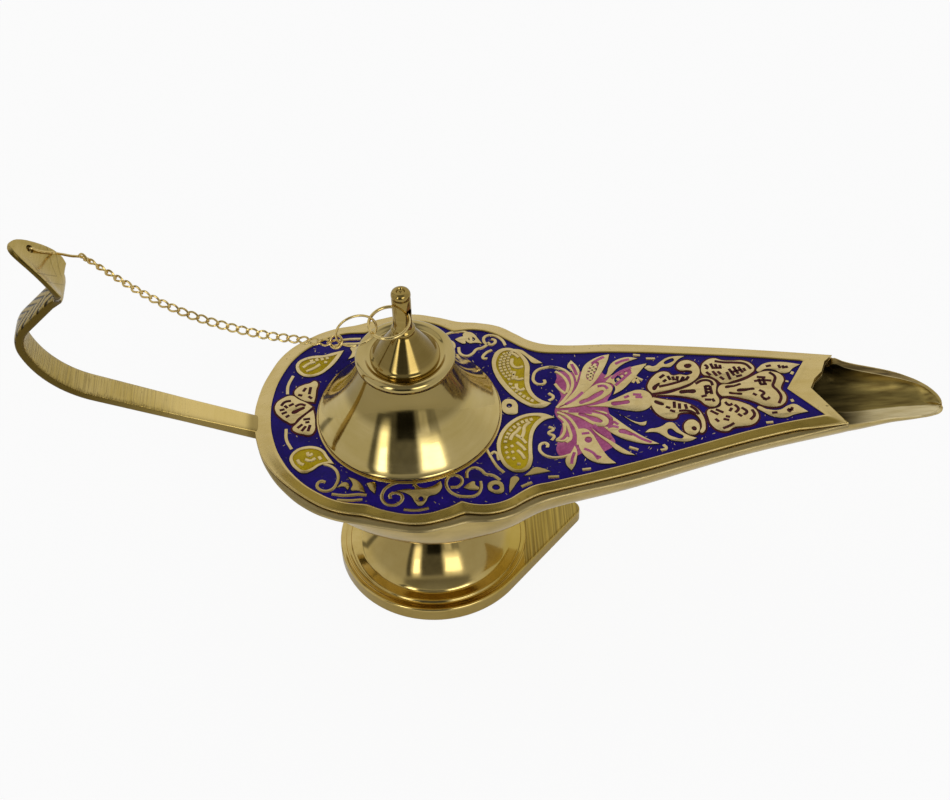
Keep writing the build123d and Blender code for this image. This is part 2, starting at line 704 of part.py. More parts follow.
with BuildPart() as cobra_handle:
    with BuildSketch(Plane.XZ):
        trace(strap_line.line, strap_thickness)
    extrude(amount=strap_bend_width / 2, both=True)
    with BuildSketch(Plane.XZ):
        with Locations((rear_edge_x - root_depth, strap_root_top_z)):
            Rectangle(2 * root_depth, plate_thickness + root_drop, align=(Align.MIN, Align.MAX))
    extrude(amount=strap_bend_width / 2, both=True)
    bend_x = (root_run @ 1).X
    far_x = bend_x - 2 * strap_bend_radius
    with BuildSketch() as plan:
        with BuildLine():
            Polyline(
                (rear_edge_x + root_depth, strap_root_width / 2),
                (rear_edge_x, strap_root_width / 2),
                (bend_x, strap_bend_width / 2),
                (far_x, strap_bend_width / 2),
                (far_x, -strap_bend_width / 2),
                (bend_x, -strap_bend_width / 2),
                (rear_edge_x, -strap_root_width / 2),
                (rear_edge_x + root_depth, -strap_root_width / 2),
                close=True,
            )
        make_face()
    extrude(amount=3 * plate_top, mode=Mode.INTERSECT)
    with BuildSketch(hood_plane):
        with BuildLine():
            side = Spline(
                (hood_neck_half, -hood_thickness / 2),
                (0.88 * hood_half_width, 0.12 * hood_length),
                (hood_half_width, 0.27 * hood_length),
                (0.94 * hood_half_width, 0.46 * hood_length),
                (0.67 * hood_half_width, 0.71 * hood_length),
                (0.44 * hood_half_width, 0.89 * hood_length),
                (0, hood_length),
                tangents=((0.7, 1), (-1, 0)),
            )
            mirror(side, about=Plane.YZ)
            Line((hood_neck_half, -hood_thickness / 2), (-hood_neck_half, -hood_thickness / 2))
        make_face()
    extrude(amount=hood_thickness)
    with BuildSketch(hood_plane):
        with Locations((0, hood_hole_height)):
            Circle(hood_hole_radius)
    extrude(amount=2 * hood_thickness, both=True, mode=Mode.SUBTRACT)
    with BuildSketch(Plane.XY.offset(seam_z - braze_gap)):
        add(lobed_outline(border_width + braze_gap, shoulder_x, 0))
    extrude(amount=2 * plate_thickness, mode=Mode.SUBTRACT)
    add(bowl_form(-braze_gap), mode=Mode.SUBTRACT)
cobra_handle.part.label = "cobra_handle"
export_step(cobra_handle.part, "parts/cobra_handle.step")


# Chain hook: a wire bent through the hood's hole, with an eye for the chain's first link
hole_center = hood_plane.from_local_coords((0, hood_hole_height, hood_thickness / 2))
behind = hole_center - hood_normal * (hook_reach + hood_thickness / 2)
ahead = hole_center + hood_normal * (hook_reach + hood_thickness / 2)
tail_end = behind - hood_direction * hook_tail
first_link = Vector(*chain_route[0])
eye_center = first_link - Vector(eye_radius - hook_wire - chain_wire - chain_play, 0, 0)
with BuildPart() as chain_hook:
    with BuildLine() as hook_path:
        FilletPolyline(
            tail_end,
            behind,
            ahead,
            (hook_dip[0], 0, hook_dip[1]),
            eye_center - Vector(eye_radius, 0, 0),
            radius=hook_bend,
        )
    with BuildSketch(Plane(origin=tail_end, z_dir=hood_direction)):
        Circle(hook_wire)
    sweep(path=hook_path.wires()[0])
    add(wire_ring(eye_center, (1, 0, 0), (0, 0, 1), eye_radius, hook_wire))
chain_hook.part.label = "chain_hook"
export_step(chain_hook.part, "parts/chain_hook.step")
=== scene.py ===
import json
import math

import bmesh
import bpy
from mathutils import Matrix, Vector

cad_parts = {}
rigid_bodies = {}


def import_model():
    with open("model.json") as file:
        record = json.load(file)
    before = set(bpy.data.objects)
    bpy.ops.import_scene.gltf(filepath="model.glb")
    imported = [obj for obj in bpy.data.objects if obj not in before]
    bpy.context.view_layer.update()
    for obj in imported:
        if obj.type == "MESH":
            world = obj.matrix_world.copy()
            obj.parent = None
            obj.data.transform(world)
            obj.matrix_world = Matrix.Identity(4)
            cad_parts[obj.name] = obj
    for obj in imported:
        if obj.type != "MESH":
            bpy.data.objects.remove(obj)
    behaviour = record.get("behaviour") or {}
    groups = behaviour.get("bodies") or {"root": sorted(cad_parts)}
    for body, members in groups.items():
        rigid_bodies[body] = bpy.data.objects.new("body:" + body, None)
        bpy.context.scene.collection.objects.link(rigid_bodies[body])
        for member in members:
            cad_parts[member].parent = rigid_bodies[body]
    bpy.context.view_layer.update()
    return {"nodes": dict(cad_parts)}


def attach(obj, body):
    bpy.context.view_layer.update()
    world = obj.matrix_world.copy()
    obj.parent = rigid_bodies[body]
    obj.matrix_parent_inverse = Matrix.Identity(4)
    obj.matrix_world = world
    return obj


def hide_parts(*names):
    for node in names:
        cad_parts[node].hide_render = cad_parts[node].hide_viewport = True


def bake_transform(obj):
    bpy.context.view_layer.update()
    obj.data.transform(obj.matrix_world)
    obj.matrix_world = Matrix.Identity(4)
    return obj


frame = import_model()
scene = bpy.context.scene
scene.view_settings.view_transform = "Standard"
scenery = scene.collection.objects
brass_parts = frame["nodes"]


# The lamp stands on a white sheet and is seen from above and in front, a little turned.
yaw, pitch, roll = math.radians(1.47), math.radians(46.87), math.radians(1.94)
camera_place = (0.0099, -0.3487, 0.4363)
focal_pixels, picture_width = 1800, 950
ahead = Vector((math.sin(yaw) * math.cos(pitch), math.cos(yaw) * math.cos(pitch), -math.sin(pitch)))
level = Vector((math.cos(yaw), -math.sin(yaw), 0))
down = ahead.cross(level)
camera_right = level * math.cos(roll) + down * math.sin(roll)
camera_up = level * math.sin(roll) - down * math.cos(roll)
lens = bpy.data.cameras.new("camera")
lens.sensor_width = 36
lens.lens = 36 * focal_pixels / picture_width
camera = bpy.data.objects.new("camera", lens)
camera.matrix_world = (
    Matrix.Translation(camera_place) @ Matrix((camera_right, camera_up, -ahead)).transposed().to_4x4()
)
scenery.link(camera)
scene.camera = camera


class Shade:
    """One output in a node tree. Arithmetic on it adds Math nodes, and node() adds any other kind."""

    def __init__(self, tree, socket=None):
        self.tree, self.socket = tree, socket

    def feed(self, socket, value):
        if isinstance(value, Shade):
            self.tree.links.new(value.socket, socket)
        else:
            socket.default_value = value

    def node(self, kind, settings=None, sockets=None, output=0):
        made = self.tree.nodes.new(kind)
        for name, value in (settings or {}).items():
            setattr(made, name, value)
        for name, value in (sockets or {}).items():
            self.feed(made.inputs[name], value)
        return Shade(self.tree, made.outputs[output])

    def maths(self, operation, first, second):
        return self.node("ShaderNodeMath", {"operation": operation}, {0: first, 1: second})

    def __add__(self, other):
        return self.maths("ADD", self, other)

    def __radd__(self, other):
        return self.maths("ADD", other, self)

    def __sub__(self, other):
        return self.maths("SUBTRACT", self, other)

    def __rsub__(self, other):
        return self.maths("SUBTRACT", other, self)

    def __mul__(self, other):
        return self.maths("MULTIPLY", self, other)

    def __rmul__(self, other):
        return self.maths("MULTIPLY", other, self)

    def __neg__(self):
        return self.maths("SUBTRACT", 0, self)

    def __abs__(self):
        return self.maths("ABSOLUTE", self, 0)

    def axis(self, name):
        """One coordinate of a place or a direction."""
        return self.node("ShaderNodeSeparateXYZ", sockets={0: self}, output=name)

    def blend(self, low, high):
        """A colour between two colours, by this value."""
        return self.node("ShaderNodeMix", {"data_type": "RGBA"}, {0: self, 6: low, 7: high}, 2)

    def fade(self, low, high):
        """This value, stretched so that low becomes 0 and high becomes 1."""
        limits = {"Value": self, "From Min": low, "From Max": high}
        return self.node("ShaderNodeMapRange", {"interpolation_type": "SMOOTHSTEP"}, limits)

    def span(self, low, high, soft):
        """1 where this value is between two limits and 0 outside them, with soft ends."""
        return self.fade(low - soft, low + soft) * (1 - self.fade(high - soft, high + soft))

    def noise(self, scale, detail, stretch=None, **more):
        """Noise over a place, which may be stretched first."""
        place = self.node("ShaderNodeMapping", sockets={"Vector": self, "Scale": stretch}) if stretch else self
        return self.node("ShaderNodeTexNoise", sockets={"Vector": place, "Scale": scale, "Detail": detail, **more})

    def bump(self, strength, distance):
        """A surface raised by this value."""
        return self.node("ShaderNodeBump", sockets={"Strength": strength, "Distance": distance, "Height": self})


def new_finish(name):
    """A material, its node tree and its shader's sockets."""
    finish = bpy.data.materials.new(name)
    finish.use_nodes = True
    return finish, Shade(finish.node_tree), finish.node_tree.nodes["Principled BSDF"].inputs


sheet_half = 4
sheet_mesh = bpy.data.meshes.new("white_sheet")
sheet_mesh.from_pydata(
    [(x * sheet_half, y * sheet_half, 0) for x, y in ((-1, -1), (1, -1), (1, 1), (-1, 1))], [], [(0, 1, 2, 3)]
)
white_sheet = bpy.data.objects.new("white_sheet", sheet_mesh)
scenery.link(white_sheet)
paper, paper_nodes, paper_sockets = new_finish("white_paper")
paper_sockets["Base Color"].default_value = (0.92, 0.92, 0.92, 1)
paper_sockets["Roughness"].default_value = 0.9
seen = paper_nodes.node("ShaderNodeLightPath")
mirrored = paper_nodes.node("ShaderNodeLightPath", output="Is Glossy Ray")
lit_paper = Shade(paper.node_tree, paper.node_tree.nodes["Principled BSDF"].outputs[0])
glow = paper_nodes.node("ShaderNodeEmission", sockets={"Color": (1, 1, 1, 1), "Strength": 1.0})
paper_mix = paper_nodes.node("ShaderNodeMixShader", sockets={0: seen * 0.92 + mirrored * 0.25, 1: lit_paper, 2: glow})
paper_nodes.feed(paper.node_tree.nodes["Material Output"].inputs["Surface"], paper_mix)
sheet_mesh.materials.append(paper)

# Pale walls stand round the lamp under a dim ceiling. In front is a dark gap between two soft boxes, which also glow
# on the walls behind them.
room = bpy.data.worlds.new("room")
room.use_nodes = True
scene.world = room
room_nodes = Shade(room.node_tree)
towards = room_nodes.node("ShaderNodeTexCoord", output="Generated")
east, north, overhead = towards.axis("X"), towards.axis("Y"), towards.axis("Z")
bearing = room_nodes.maths("ARCTAN2", east, -north) * (180 / math.pi)
height = room_nodes.maths("ARCSINE", overhead, 0) * (180 / math.pi)
walls = (0.56 + north.fade(0.0, 0.8) * 0.18) * (1 - bearing.span(-124, -118, 2) * 0.7)
clutter = towards.noise(9.0, 3.0)
gap_light = (
    0.13 + bearing.span(11, 46, 3) * 0.22 + bearing.span(17, 31, 2) * height.span(0, 15, 2) * 0.45
    - bearing.span(-21, 9, 4) * height.span(-3, 20, 3) * 0.115
) * (0.6 + clutter * 0.8)
front_gap = bearing.span(-55, 46, 2.5) * height.span(-30, 48, 3)
left_glow = bearing.span(-45, -32, 5) * height.span(8, 46, 7)
right_glow = bearing.span(12, 44, 6) * height.span(19, 46, 7)
ceiling = room_nodes.maths("MAXIMUM", height.fade(60, 74), bearing.span(-60, 56, 5) * height.fade(46, 54))
below = walls + (gap_light - walls) * front_gap + left_glow * 2.2 + right_glow * 1.6
room_light = below + (0.22 - below) * ceiling
room_seen = room_nodes.node("ShaderNodeLightPath")
room_sockets = room.node_tree.nodes["Background"].inputs
room_nodes.feed(room_sockets["Strength"], room_light + room_seen * (1.0 - room_light))
room_sockets["Color"].default_value = (1, 1, 1, 1)
lit_point = Vector((0, 0, 0.06))
for name, place, width, tall, radiance in (
    ("left_soft_box", (-0.555, -0.737, 0.64), 0.16, 0.34, 1.6),
    ("right_soft_box", (0.433, -0.815, 0.64), 0.44, 0.34, 1.2),
):
    light = bpy.data.lights.new(name, "AREA")
    light.shape = "RECTANGLE"
    light.size, light.size_y = width, tall
    light.energy = radiance * math.pi * width * tall
    soft_box = bpy.data.objects.new(name, light)
    soft_box.location = place
    soft_box.rotation_euler = (lit_point - Vector(place)).to_track_quat("-Z", "Y").to_euler()
    scenery.link(soft_box)


# Safety chain: fine brass curb chain, each wire link twisted so that the row lies flat. It hangs from the wire hook
# in the handle's hood and ends in a jump ring and two open wire rings at the finial.
chain_route = [
    (-0.0804, 0.0, 0.1252),
    (-0.0744, -0.0006, 0.1192),
    (-0.0660, -0.0014, 0.1114),
    (-0.0570, -0.0022, 0.1055),
    (-0.0475, -0.0032, 0.1013),
    (-0.0375, -0.0043, 0.0983),
    (-0.0280, -0.0054, 0.0969),
    (-0.0187, -0.0065, 0.0960),
]
link_count = 27
chain_wire, link_half_width, chain_width = 0.0003, 0.0010, 0.0026


def brass_finish(name, pale, deep, low, high, grain=300, relief=0.05, stain=0.0):
    """Brass whose colour clouds between two tones, with a grain that roughens and scores it."""
    finish, nodes, sockets = new_finish(name)
    sockets["Metallic"].default_value = 1
    place = nodes.node("ShaderNodeTexCoord", output="Object")
    score = place.noise(1.0, 5.0, grain if isinstance(grain, tuple) else (grain, grain, grain), Roughness=0.65)
    cloud = place.noise(70.0, 4.0)
    tone = cloud.fade(0.3, 0.7) * 0.55 + score.fade(0.3, 0.7) * 0.45
    colour = tone.blend((*deep, 1), (*pale, 1))
    if stain:
        spots = place.noise(900.0, 2.0).fade(0.66, 0.74) * cloud.fade(0.45, 0.65) * stain
        colour = spots.blend(colour, (0.09, 0.06, 0.02, 1))
    wear = score.fade(0.3, 0.75) * 0.6 + cloud.fade(0.35, 0.7) * 0.4
    nodes.feed(sockets["Base Color"], colour)
    nodes.feed(sockets["Roughness"], low + wear * (high - low))
    nodes.feed(sockets["Normal"], score.bump(relief, 0.0004))
    return finish


def node_tree(name, sizes):
    """A geometry tree with named inputs. It takes in a path or a surface, and its inputs come back by name."""
    tree = bpy.data.node_groups.new(name, "GeometryNodeTree")
    tree.interface.new_socket("Pattern", in_out="INPUT", socket_type="NodeSocketGeometry")
    for label, kind in sizes:
        tree.interface.new_socket(label, in_out="INPUT", socket_type="NodeSocket" + kind)
    tree.interface.new_socket("Piece", in_out="OUTPUT", socket_type="NodeSocketGeometry")
    entry = tree.nodes.new("NodeGroupInput")
    return Shade(tree), {socket.name: Shade(tree, socket) for socket in entry.outputs if socket.name}


def close_tree(nodes, shape, finish):
    """Ends a geometry tree with one whole mesh in one finish."""
    whole = nodes.node("GeometryNodeRealizeInstances", sockets={"Geometry": shape})
    coated = nodes.node("GeometryNodeSetMaterial", sockets={"Geometry": whole, "Material": finish})
    leave = nodes.tree.nodes.new("NodeGroupOutput")
    nodes.tree.links.new(coated.socket, leave.inputs[0])


def plain_mesh(worked):
    """The mesh of an object as its curve or modifiers leave it."""
    bpy.context.view_layer.update()
    return bpy.data.meshes.new_from_object(worked.evaluated_get(bpy.context.evaluated_depsgraph_get()))


def curve_mesh(curve):
    """The mesh of a curve. The curve is only a sketch, and its object isn't kept."""
    sketch = bpy.data.objects.new(curve.name, curve)
    scenery.link(sketch)
    mesh = plain_mesh(sketch)
    bpy.data.objects.remove(sketch)
    return mesh


def new_curve(name, dimensions="3D"):
    """A curve with nothing on it yet."""
    curve = bpy.data.curves.new(name, "CURVE")
    curve.dimensions = dimensions
    return curve


def smooth_run(curve, places, closed=False):
    """Adds a smooth run through places to a curve, and gives its points."""
    run = curve.splines.new("BEZIER")
    run.use_cyclic_u = closed
    run.bezier_points.add(len(places) - 1)
    for point, place in zip(run.bezier_points, places):
        point.co = place
        point.handle_left_type = point.handle_right_type = "AUTO"
    return run.bezier_points


def placed(name, mesh):
    """An object in the scene, at the origin."""
    piece = bpy.data.objects.new(name, mesh)
    scenery.link(piece)
    return piece


def grown(name, pattern, nodes, values, scale=1.0):
    """Runs a geometry tree on a curve or mesh and keeps the result as a plain mesh."""
    sketch = placed(name, pattern)
    modifier = sketch.modifiers.new(name, "NODES")
    modifier.node_group = nodes.tree
    for item in nodes.tree.interface.items_tree:
        if item.in_out == "INPUT" and item.name in values:
            modifier[item.identifier] = values[item.name]
    mesh = plain_mesh(sketch)
    bpy.data.objects.remove(sketch)
    mesh.transform(Matrix.Scale(scale, 4))
    mesh.shade_smooth()
    mesh.set_sharp_from_angle(angle=math.radians(42))
    return placed(name, mesh)


def bent_wire(name, curve, half_thick, finish):
    """A round wire along a curve in millimetres, with closed ends."""
    curve.bevel_depth, curve.bevel_resolution, curve.use_fill_caps = half_thick, 3, True
    mesh = curve_mesh(curve)
    mesh.transform(Matrix.Scale(0.001, 4))
    mesh.shade_smooth()
    mesh.materials.append(finish)
    return placed(name, mesh)


def carried(piece, body, slot, *nodes):
    """Fixes a piece to a body and hides the solids that it stands for. The slot of its finish is not used."""
    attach(piece, body)
    if nodes:
        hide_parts(*nodes)


def recoat(finish, *names):
    """Gives a finish to solids that stay as they are."""
    for name in names:
        brass_parts[name].data.materials.clear()
        brass_parts[name].data.materials.append(finish)


route_curve = new_curve("chain_route")
run = route_curve.splines.new("NURBS")
run.points.add(len(chain_route) - 1)
for point, place in zip(run.points, chain_route):
    point.co = (*place, 1)
run.order_u = 3
run.use_endpoint_u = True
run.resolution_u = 16
chain_line = [vertex.co.copy() for vertex in curve_mesh(route_curve).vertices]
chain_length = sum((b - a).length for a, b in zip(chain_line, chain_line[1:]))
link_pitch = chain_length / (link_count - 1)

chain_brass = brass_finish(
    "chain_brass", (0.80, 0.62, 0.25), (0.62, 0.44, 0.14), low=0.14, high=0.26, grain=900, relief=0.0,
)
links, link_size = node_tree("curb_links", [
    ("Link count", "Int"), ("Half length", "Float"), ("Half width", "Float"), ("Wire", "Float"), ("Twist", "Float"),
    ("Roll", "Float"), ("First roll", "Float"), ("Finish", "Material"),
])
stations = links.node(
    "GeometryNodeResampleCurve", {"mode": "COUNT"}, {"Curve": link_size["Pattern"], "Count": link_size["Link count"]}
)
round_link = links.node("GeometryNodeCurvePrimitiveCircle", sockets={"Resolution": 22, "Radius": 1.0})
round_place = links.node("GeometryNodeInputPosition")
round_x, round_y = round_place.axis("X"), round_place.axis("Y")
oval = links.node(
    "ShaderNodeCombineXYZ", sockets={"X": round_x * link_size["Half length"], "Y": round_y * link_size["Half width"]}
)
twisted = links.node(
    "ShaderNodeVectorRotate", {"rotation_type": "X_AXIS"}, {"Vector": oval, "Angle": round_x * link_size["Twist"]}
)
link_path = links.node("GeometryNodeSetPosition", sockets={"Geometry": round_link, "Position": twisted})
wire_round = links.node("GeometryNodeCurvePrimitiveCircle", sockets={"Resolution": 8, "Radius": link_size["Wire"]})
link_wire = links.node("GeometryNodeCurveToMesh", sockets={"Curve": link_path, "Profile Curve": wire_round})
along_row = links.node("GeometryNodeInputTangent")
facing_on = links.node("FunctionNodeAlignRotationToVector", {"axis": "X"}, {"Vector": along_row})
place_in_row = links.node("GeometryNodeInputIndex")
rolled = links.node("FunctionNodeAxisAngleToRotation", sockets={
    "Axis": (1, 0, 0), "Angle": place_in_row * link_size["Roll"] + link_size["First roll"],
})
set_in_row = links.node(
    "FunctionNodeRotateRotation", {"rotation_space": "LOCAL"}, {"Rotation": facing_on, "Rotate By": rolled}
)
link_row = links.node(
    "GeometryNodeInstanceOnPoints", sockets={"Points": stations, "Instance": link_wire, "Rotation": set_in_row}
)
close_tree(links, link_row, link_size["Finish"])
safety_chain = grown("safety_chain", route_curve, links, {
    "Link count": link_count,
    "Half length": link_pitch / 2 + chain_wire * 0.75,
    "Half width": link_half_width,
    "Wire": chain_wire,
    "Twist": math.radians(45),
    "Roll": math.radians(-5),
    "First roll": math.radians(130),
    "Finish": chain_brass,
})


# Wire hook and open ring: round brass wire bent with pliers. The hook passes through the hole in the hood and holds
# the chain's first link, and the ring joins the chain to the finial's own ring.
ring_brass = brass_finish(
    "ring_brass", (0.80, 0.62, 0.25), (0.66, 0.48, 0.17), low=0.10, high=0.18, grain=900, relief=0.0,
)
hook_route = [
    (-97.0, 1.2, 126.6), (-96.2, 1.5, 126.4), (-95.1, 1.8, 127.0), (-94.0, 2.0, 127.6), (-93.0, 2.4, 126.6),
    (-91.65, 3.4, 125.0),
    (-90.2, 4.6, 123.6), (-89.1, 5.2, 122.7), (-86.9, 3.8, 123.4), (-84.0, 1.6, 124.6), (-81.2, 0.2, 125.4),
    (-80.0, -0.2, 125.2),
    (-79.8, -0.2, 124.6), (-80.3, 0.0, 124.3), (-80.9, 0.2, 124.6),
]
hook_curve = new_curve("hook_route")
smooth_run(hook_curve, hook_route)
wire_hook = bent_wire("wire_hook", hook_curve, 0.36, ring_brass)
ring_center, ring_radius, ring_wire = Vector((-12.36, -6.0, 99.66)), 5.55, 0.34
ring_facing = Vector((0.247, -0.97, -0.018)).to_track_quat("Z", "Y")
ring_steps, ring_gap, ring_gap_at = 71, 8, 270
ring_curve = new_curve("open_ring")
ring_run = ring_curve.splines.new("POLY")
ring_run.points.add(ring_steps)
for index, point in enumerate(ring_run.points):
    a = math.radians(ring_gap_at + ring_gap / 2 + (360 - ring_gap) * index / ring_steps)
    swept = ring_facing @ Vector((ring_radius * math.cos(a), ring_radius * math.sin(a), 0))
    point.co = (*(ring_center + swept), 1)
open_ring = bent_wire("open_ring", ring_curve, ring_wire, ring_brass)
carried(open_ring, "chain_end", "brass_wire", "link_ring")
carried(wire_hook, "lamp", "brass_wire", "chain_hook")
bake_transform(safety_chain)
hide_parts("chain")
recoat(ring_brass, "chain_ring", "finial_ring")


# Foot: one brass casting, turned on its stem and ringed top and buffed bright. The flat of its pointed tail is left
# as it was ground, with stripes across it. A screw through the bowl's floor holds it.
foot_x = 5.5
base_radius, tail_length, tail_tip, tail_turn = 29.3, 42.6, 2.9, math.radians(10)
base_steps = 240


def base_reach(angle, inset):
    """How far the pointed base reaches from the stem's axis, at an angle from its tail and drawn in by an inset."""
    wide, tip, off = base_radius - inset, tail_tip - inset, abs(angle)
    lean = math.acos((wide - tip) / tail_length)
    touch = math.atan2(tip * math.sin(lean), tail_length + tip * math.cos(lean))
    if off >= lean:
        return wide
    if off >= touch:
        return wide / math.cos(off - lean)
    return tail_length * math.cos(off) + math.sqrt(max(0, tip ** 2 - (tail_length * math.sin(off)) ** 2))


def about_stem(reach, angle, z):
    """A point of the foot, at a reach from the stem's axis and an angle from the tail."""
    return foot_x + reach * math.cos(angle + tail_turn), reach * math.sin(angle + tail_turn), z


def bow(start, middle, end, steps):
    """Points along the arc through three points of a profile."""
    (ax, ay), (bx, by), (cx, cy) = start, middle, end
    d = 2 * (ax * (by - cy) + bx * (cy - ay) + cx * (ay - by))
    ux = ((ax * ax + ay * ay) * (by - cy) + (bx * bx + by * by) * (cy - ay) + (cx * cx + cy * cy) * (ay - by)) / d
    uy = ((ax * ax + ay * ay) * (cx - bx) + (bx * bx + by * by) * (ax - cx) + (cx * cx + cy * cy) * (bx - ax)) / d
    first, last = math.atan2(ay - uy, ax - ux), math.atan2(cy - uy, cx - ux)
    sweep = (last - first + math.pi) % math.tau - math.pi
    radius = math.hypot(ax - ux, ay - uy)
    return [
        (ux + radius * math.cos(first + sweep * step / steps), uy + radius * math.sin(first + sweep * step / steps))
        for step in range(steps + 1)
    ]


def join_rings(rings, points, faces, around=False, capped=False):
    """Adds closed rings of points, each joined to the next by a band of faces."""
    first, count = len(points), len(rings[0])
    for ring in rings:
        points.extend(ring)
    for row in range(len(rings) if around else len(rings) - 1):
        here, there = first + row * count, first + (row + 1) % len(rings) * count
        for step in range(count):
            following = (step + 1) % count
            faces.append((here + step, here + following, there + following, there + step))
    if capped:
        faces.append(tuple(range(first, first + count)))
        faces.append(tuple(range(first + (len(rings) - 1) * count, first + len(rings) * count)))


def made_piece(name, points, faces, finish, sharp=42, inside=()):
    """A mesh piece from points in millimetres, with its faces turned outwards. It may say which points are inside."""
    mesh = bpy.data.meshes.new(name)
    mesh.from_pydata([Vector(point) * 0.001 for point in points], [], faces)
    work = bmesh.new()
    work.from_mesh(mesh)
    if inside:
        share = work.verts.layers.float.new("inside")
        for vertex, value in zip(work.verts, inside):
            vertex[share] = value
    bmesh.ops.remove_doubles(work, verts=work.verts, dist=1e-7)
    bmesh.ops.recalc_face_normals(work, faces=work.faces)
    work.to_mesh(mesh)
    work.free()
    mesh.shade_smooth()
    mesh.set_sharp_from_angle(angle=math.radians(sharp))
    mesh.materials.append(finish)
    return placed(name, mesh)


def ringed_piece(name, rings, finish, around=False):
    """A piece whose skin is one run of rings, which closes on itself or else is capped at both ends."""
    points, faces = [], []
    join_rings(rings, points, faces, around, not around)
    return made_piece(name, points, faces, finish, sharp=50)


def reworked(finish):
    """A brass finish to work on: its nodes, its sockets, a place on it, and its colour and roughness so far."""
    nodes, sockets = Shade(finish.node_tree), finish.node_tree.nodes["Principled BSDF"].inputs
    so_far = [Shade(finish.node_tree, sockets[name].links[0].from_socket) for name in ("Base Color", "Roughness")]
    return nodes, sockets, nodes.node("ShaderNodeTexCoord", output="Object"), *so_far


base_angles = [
    math.pi * (0.3 * t + 0.7 * t ** 3) for t in ((step + 0.5) / (base_steps / 2) - 1 for step in range(base_steps))
]
base_rim = [
    (1.0, 0.0), (0.5, 0.0), (0.15, 0.12), (0.0, 0.4), (0.0, 0.8), (0.0, 4.1), (0.0, 4.45), (0.12, 4.8), (0.4, 4.97),
    (0.7, 5.0), (0.95, 5.0),
]
foot_profile = (
    [(28.0, 5.0), (27.8, 4.96), (27.6, 4.8), (27.45, 4.62), (27.2, 4.55), (26.7, 4.56), (26.2, 4.62), (26.05, 4.75)]
    + [(26.0, 4.95), (25.8, 5.1), (25.3, 5.16), (23.4, 5.3), (22.9, 5.4), (22.7, 5.6)]
    + bow((22.4, 5.9), (14.6, 13.0), (9.8, 26.0), 28)
    + [(9.75, 26.3), (9.9, 26.42), (10.4, 26.44), (10.7, 26.52), (10.8, 26.75), (10.8, 27.9), (10.6, 28.0)]
)
foot_rings = [[about_stem(base_reach(a, inset), a, z) for a in base_angles] for inset, z in base_rim]
foot_rings += [[about_stem(r, a, z) for a in base_angles] for r, z in foot_profile]
foot_brass = brass_finish(
    "foot_brass", (0.72, 0.55, 0.21), (0.58, 0.42, 0.13), low=0.05, high=0.14, grain=260, relief=0.03,
)
foot_nodes, foot_sockets, foot_place, polished, smooth = reworked(foot_brass)
foot_east, foot_up = foot_place.axis("X"), foot_place.axis("Z")
ground_tail = foot_east.fade(0.0315, 0.0325) * foot_up.fade(0.0045, 0.0049)
stripes = foot_place.noise(1.0, 3.0, (1100, 14, 14)).fade(0.35, 0.65)
# Painted shade: the base's outer wall, the stem and the right side of the foot get darker colours, which stand in for
# shade and dark reflections.
base_wall_painted_shade = 1 - foot_up.fade(0.0040, 0.0047)
stem_painted_shade = foot_up.fade(0.0058, 0.0075)
right_painted_shade = foot_east.fade(0.016, 0.026) * (1 - stem_painted_shade)
right_shaded_colour = (right_painted_shade * 0.6).blend(polished, (0.48, 0.33, 0.03, 1))
stem_shaded_colour = (stem_painted_shade * 0.6).blend(right_shaded_colour, (0.36, 0.26, 0.09, 1))
striped = (ground_tail * (1 - stripes) * 0.7).blend(stem_shaded_colour, (0.20, 0.14, 0.04, 1))
foot_nodes.feed(foot_sockets["Base Color"], (base_wall_painted_shade * 0.7).blend(striped, (0.36, 0.26, 0.07, 1)))
foot_nodes.feed(foot_sockets["Roughness"], smooth + ground_tail * 0.22)
foot_nodes.feed(foot_sockets["Normal"], (stripes * ground_tail).bump(0.25, 0.0006))
trumpet_foot = ringed_piece("trumpet_foot", foot_rings, foot_brass)
carried(trumpet_foot, "lamp", "polished_brass", "foot")


# Hidden fittings: the foot's screw and the finial's nut are turned brass, left as they came off the lathe. A leather
# washer under the screw's head keeps the oil in the bowl.
screw_brass = brass_finish(
    "screw_brass", (0.62, 0.45, 0.16), (0.40, 0.28, 0.09), low=0.25, high=0.45, grain=700, relief=0.1,
)
recoat(screw_brass, "foot_screw", "finial_nut")

leather, hide, hide_sockets = new_finish("oiled_leather")
hide_place = hide.node("ShaderNodeTexCoord", output="Object")
hide_grain = hide.node("ShaderNodeTexVoronoi", sockets={"Vector": hide_place, "Scale": 1400.0})
hide_tone = hide_place.noise(260.0, 4.0)
hide.feed(hide_sockets["Base Color"], hide_tone.blend((0.05, 0.025, 0.012, 1), (0.14, 0.075, 0.035, 1)))
hide.feed(hide_sockets["Roughness"], 0.5 + hide_tone * 0.3)
hide.feed(hide_sockets["Normal"], hide_grain.bump(0.4, 0.0003))
recoat(leather, "sealing_washer")


# Bowl: a thin brass casting, boat shaped, buffed outside and left rough and sooty inside, where the oil stands, with
# painted shade under the plate. Its wall follows the plate's lobes, and its spout is open above, with a low front lip.
rim_z = 57.0
bowl_back = [(x, y, rim_z) for x, y in (
    (-43.5, 1.0), (-42.6, 10.4), (-39.5, 19.7), (-35.1, 27.2), (-28.9, 32.4), (-21.6, 35.8), (-14.5, 37.2),
    (-7.6, 39.2), (1.0, 40.6), (9.4, 38.6), (15.2, 36.4), (21.2, 35.4), (27.2, 33.5), (31.8, 30.1), (35.9, 27.0),
    (40.2, 25.1), (45.5, 24.2), (60.5, 23.5), (81.0, 21.2), (101.0, 18.3), (123.0, 14.7),
)] + [
    (123.8, 14.4, 58.6), (127.1, 13.2, 58.1), (130.5, 12.3, 57.6), (134.1, 11.6, 57.1), (137.6, 11.0, 56.5),
    (141.4, 10.2, 55.8), (145.2, 8.7, 55.2), (148.9, 6.6, 54.6), (152.0, 3.8, 53.9), (153.6, 1.2, 53.2),
    (153.9, -1.0, 52.7),
]
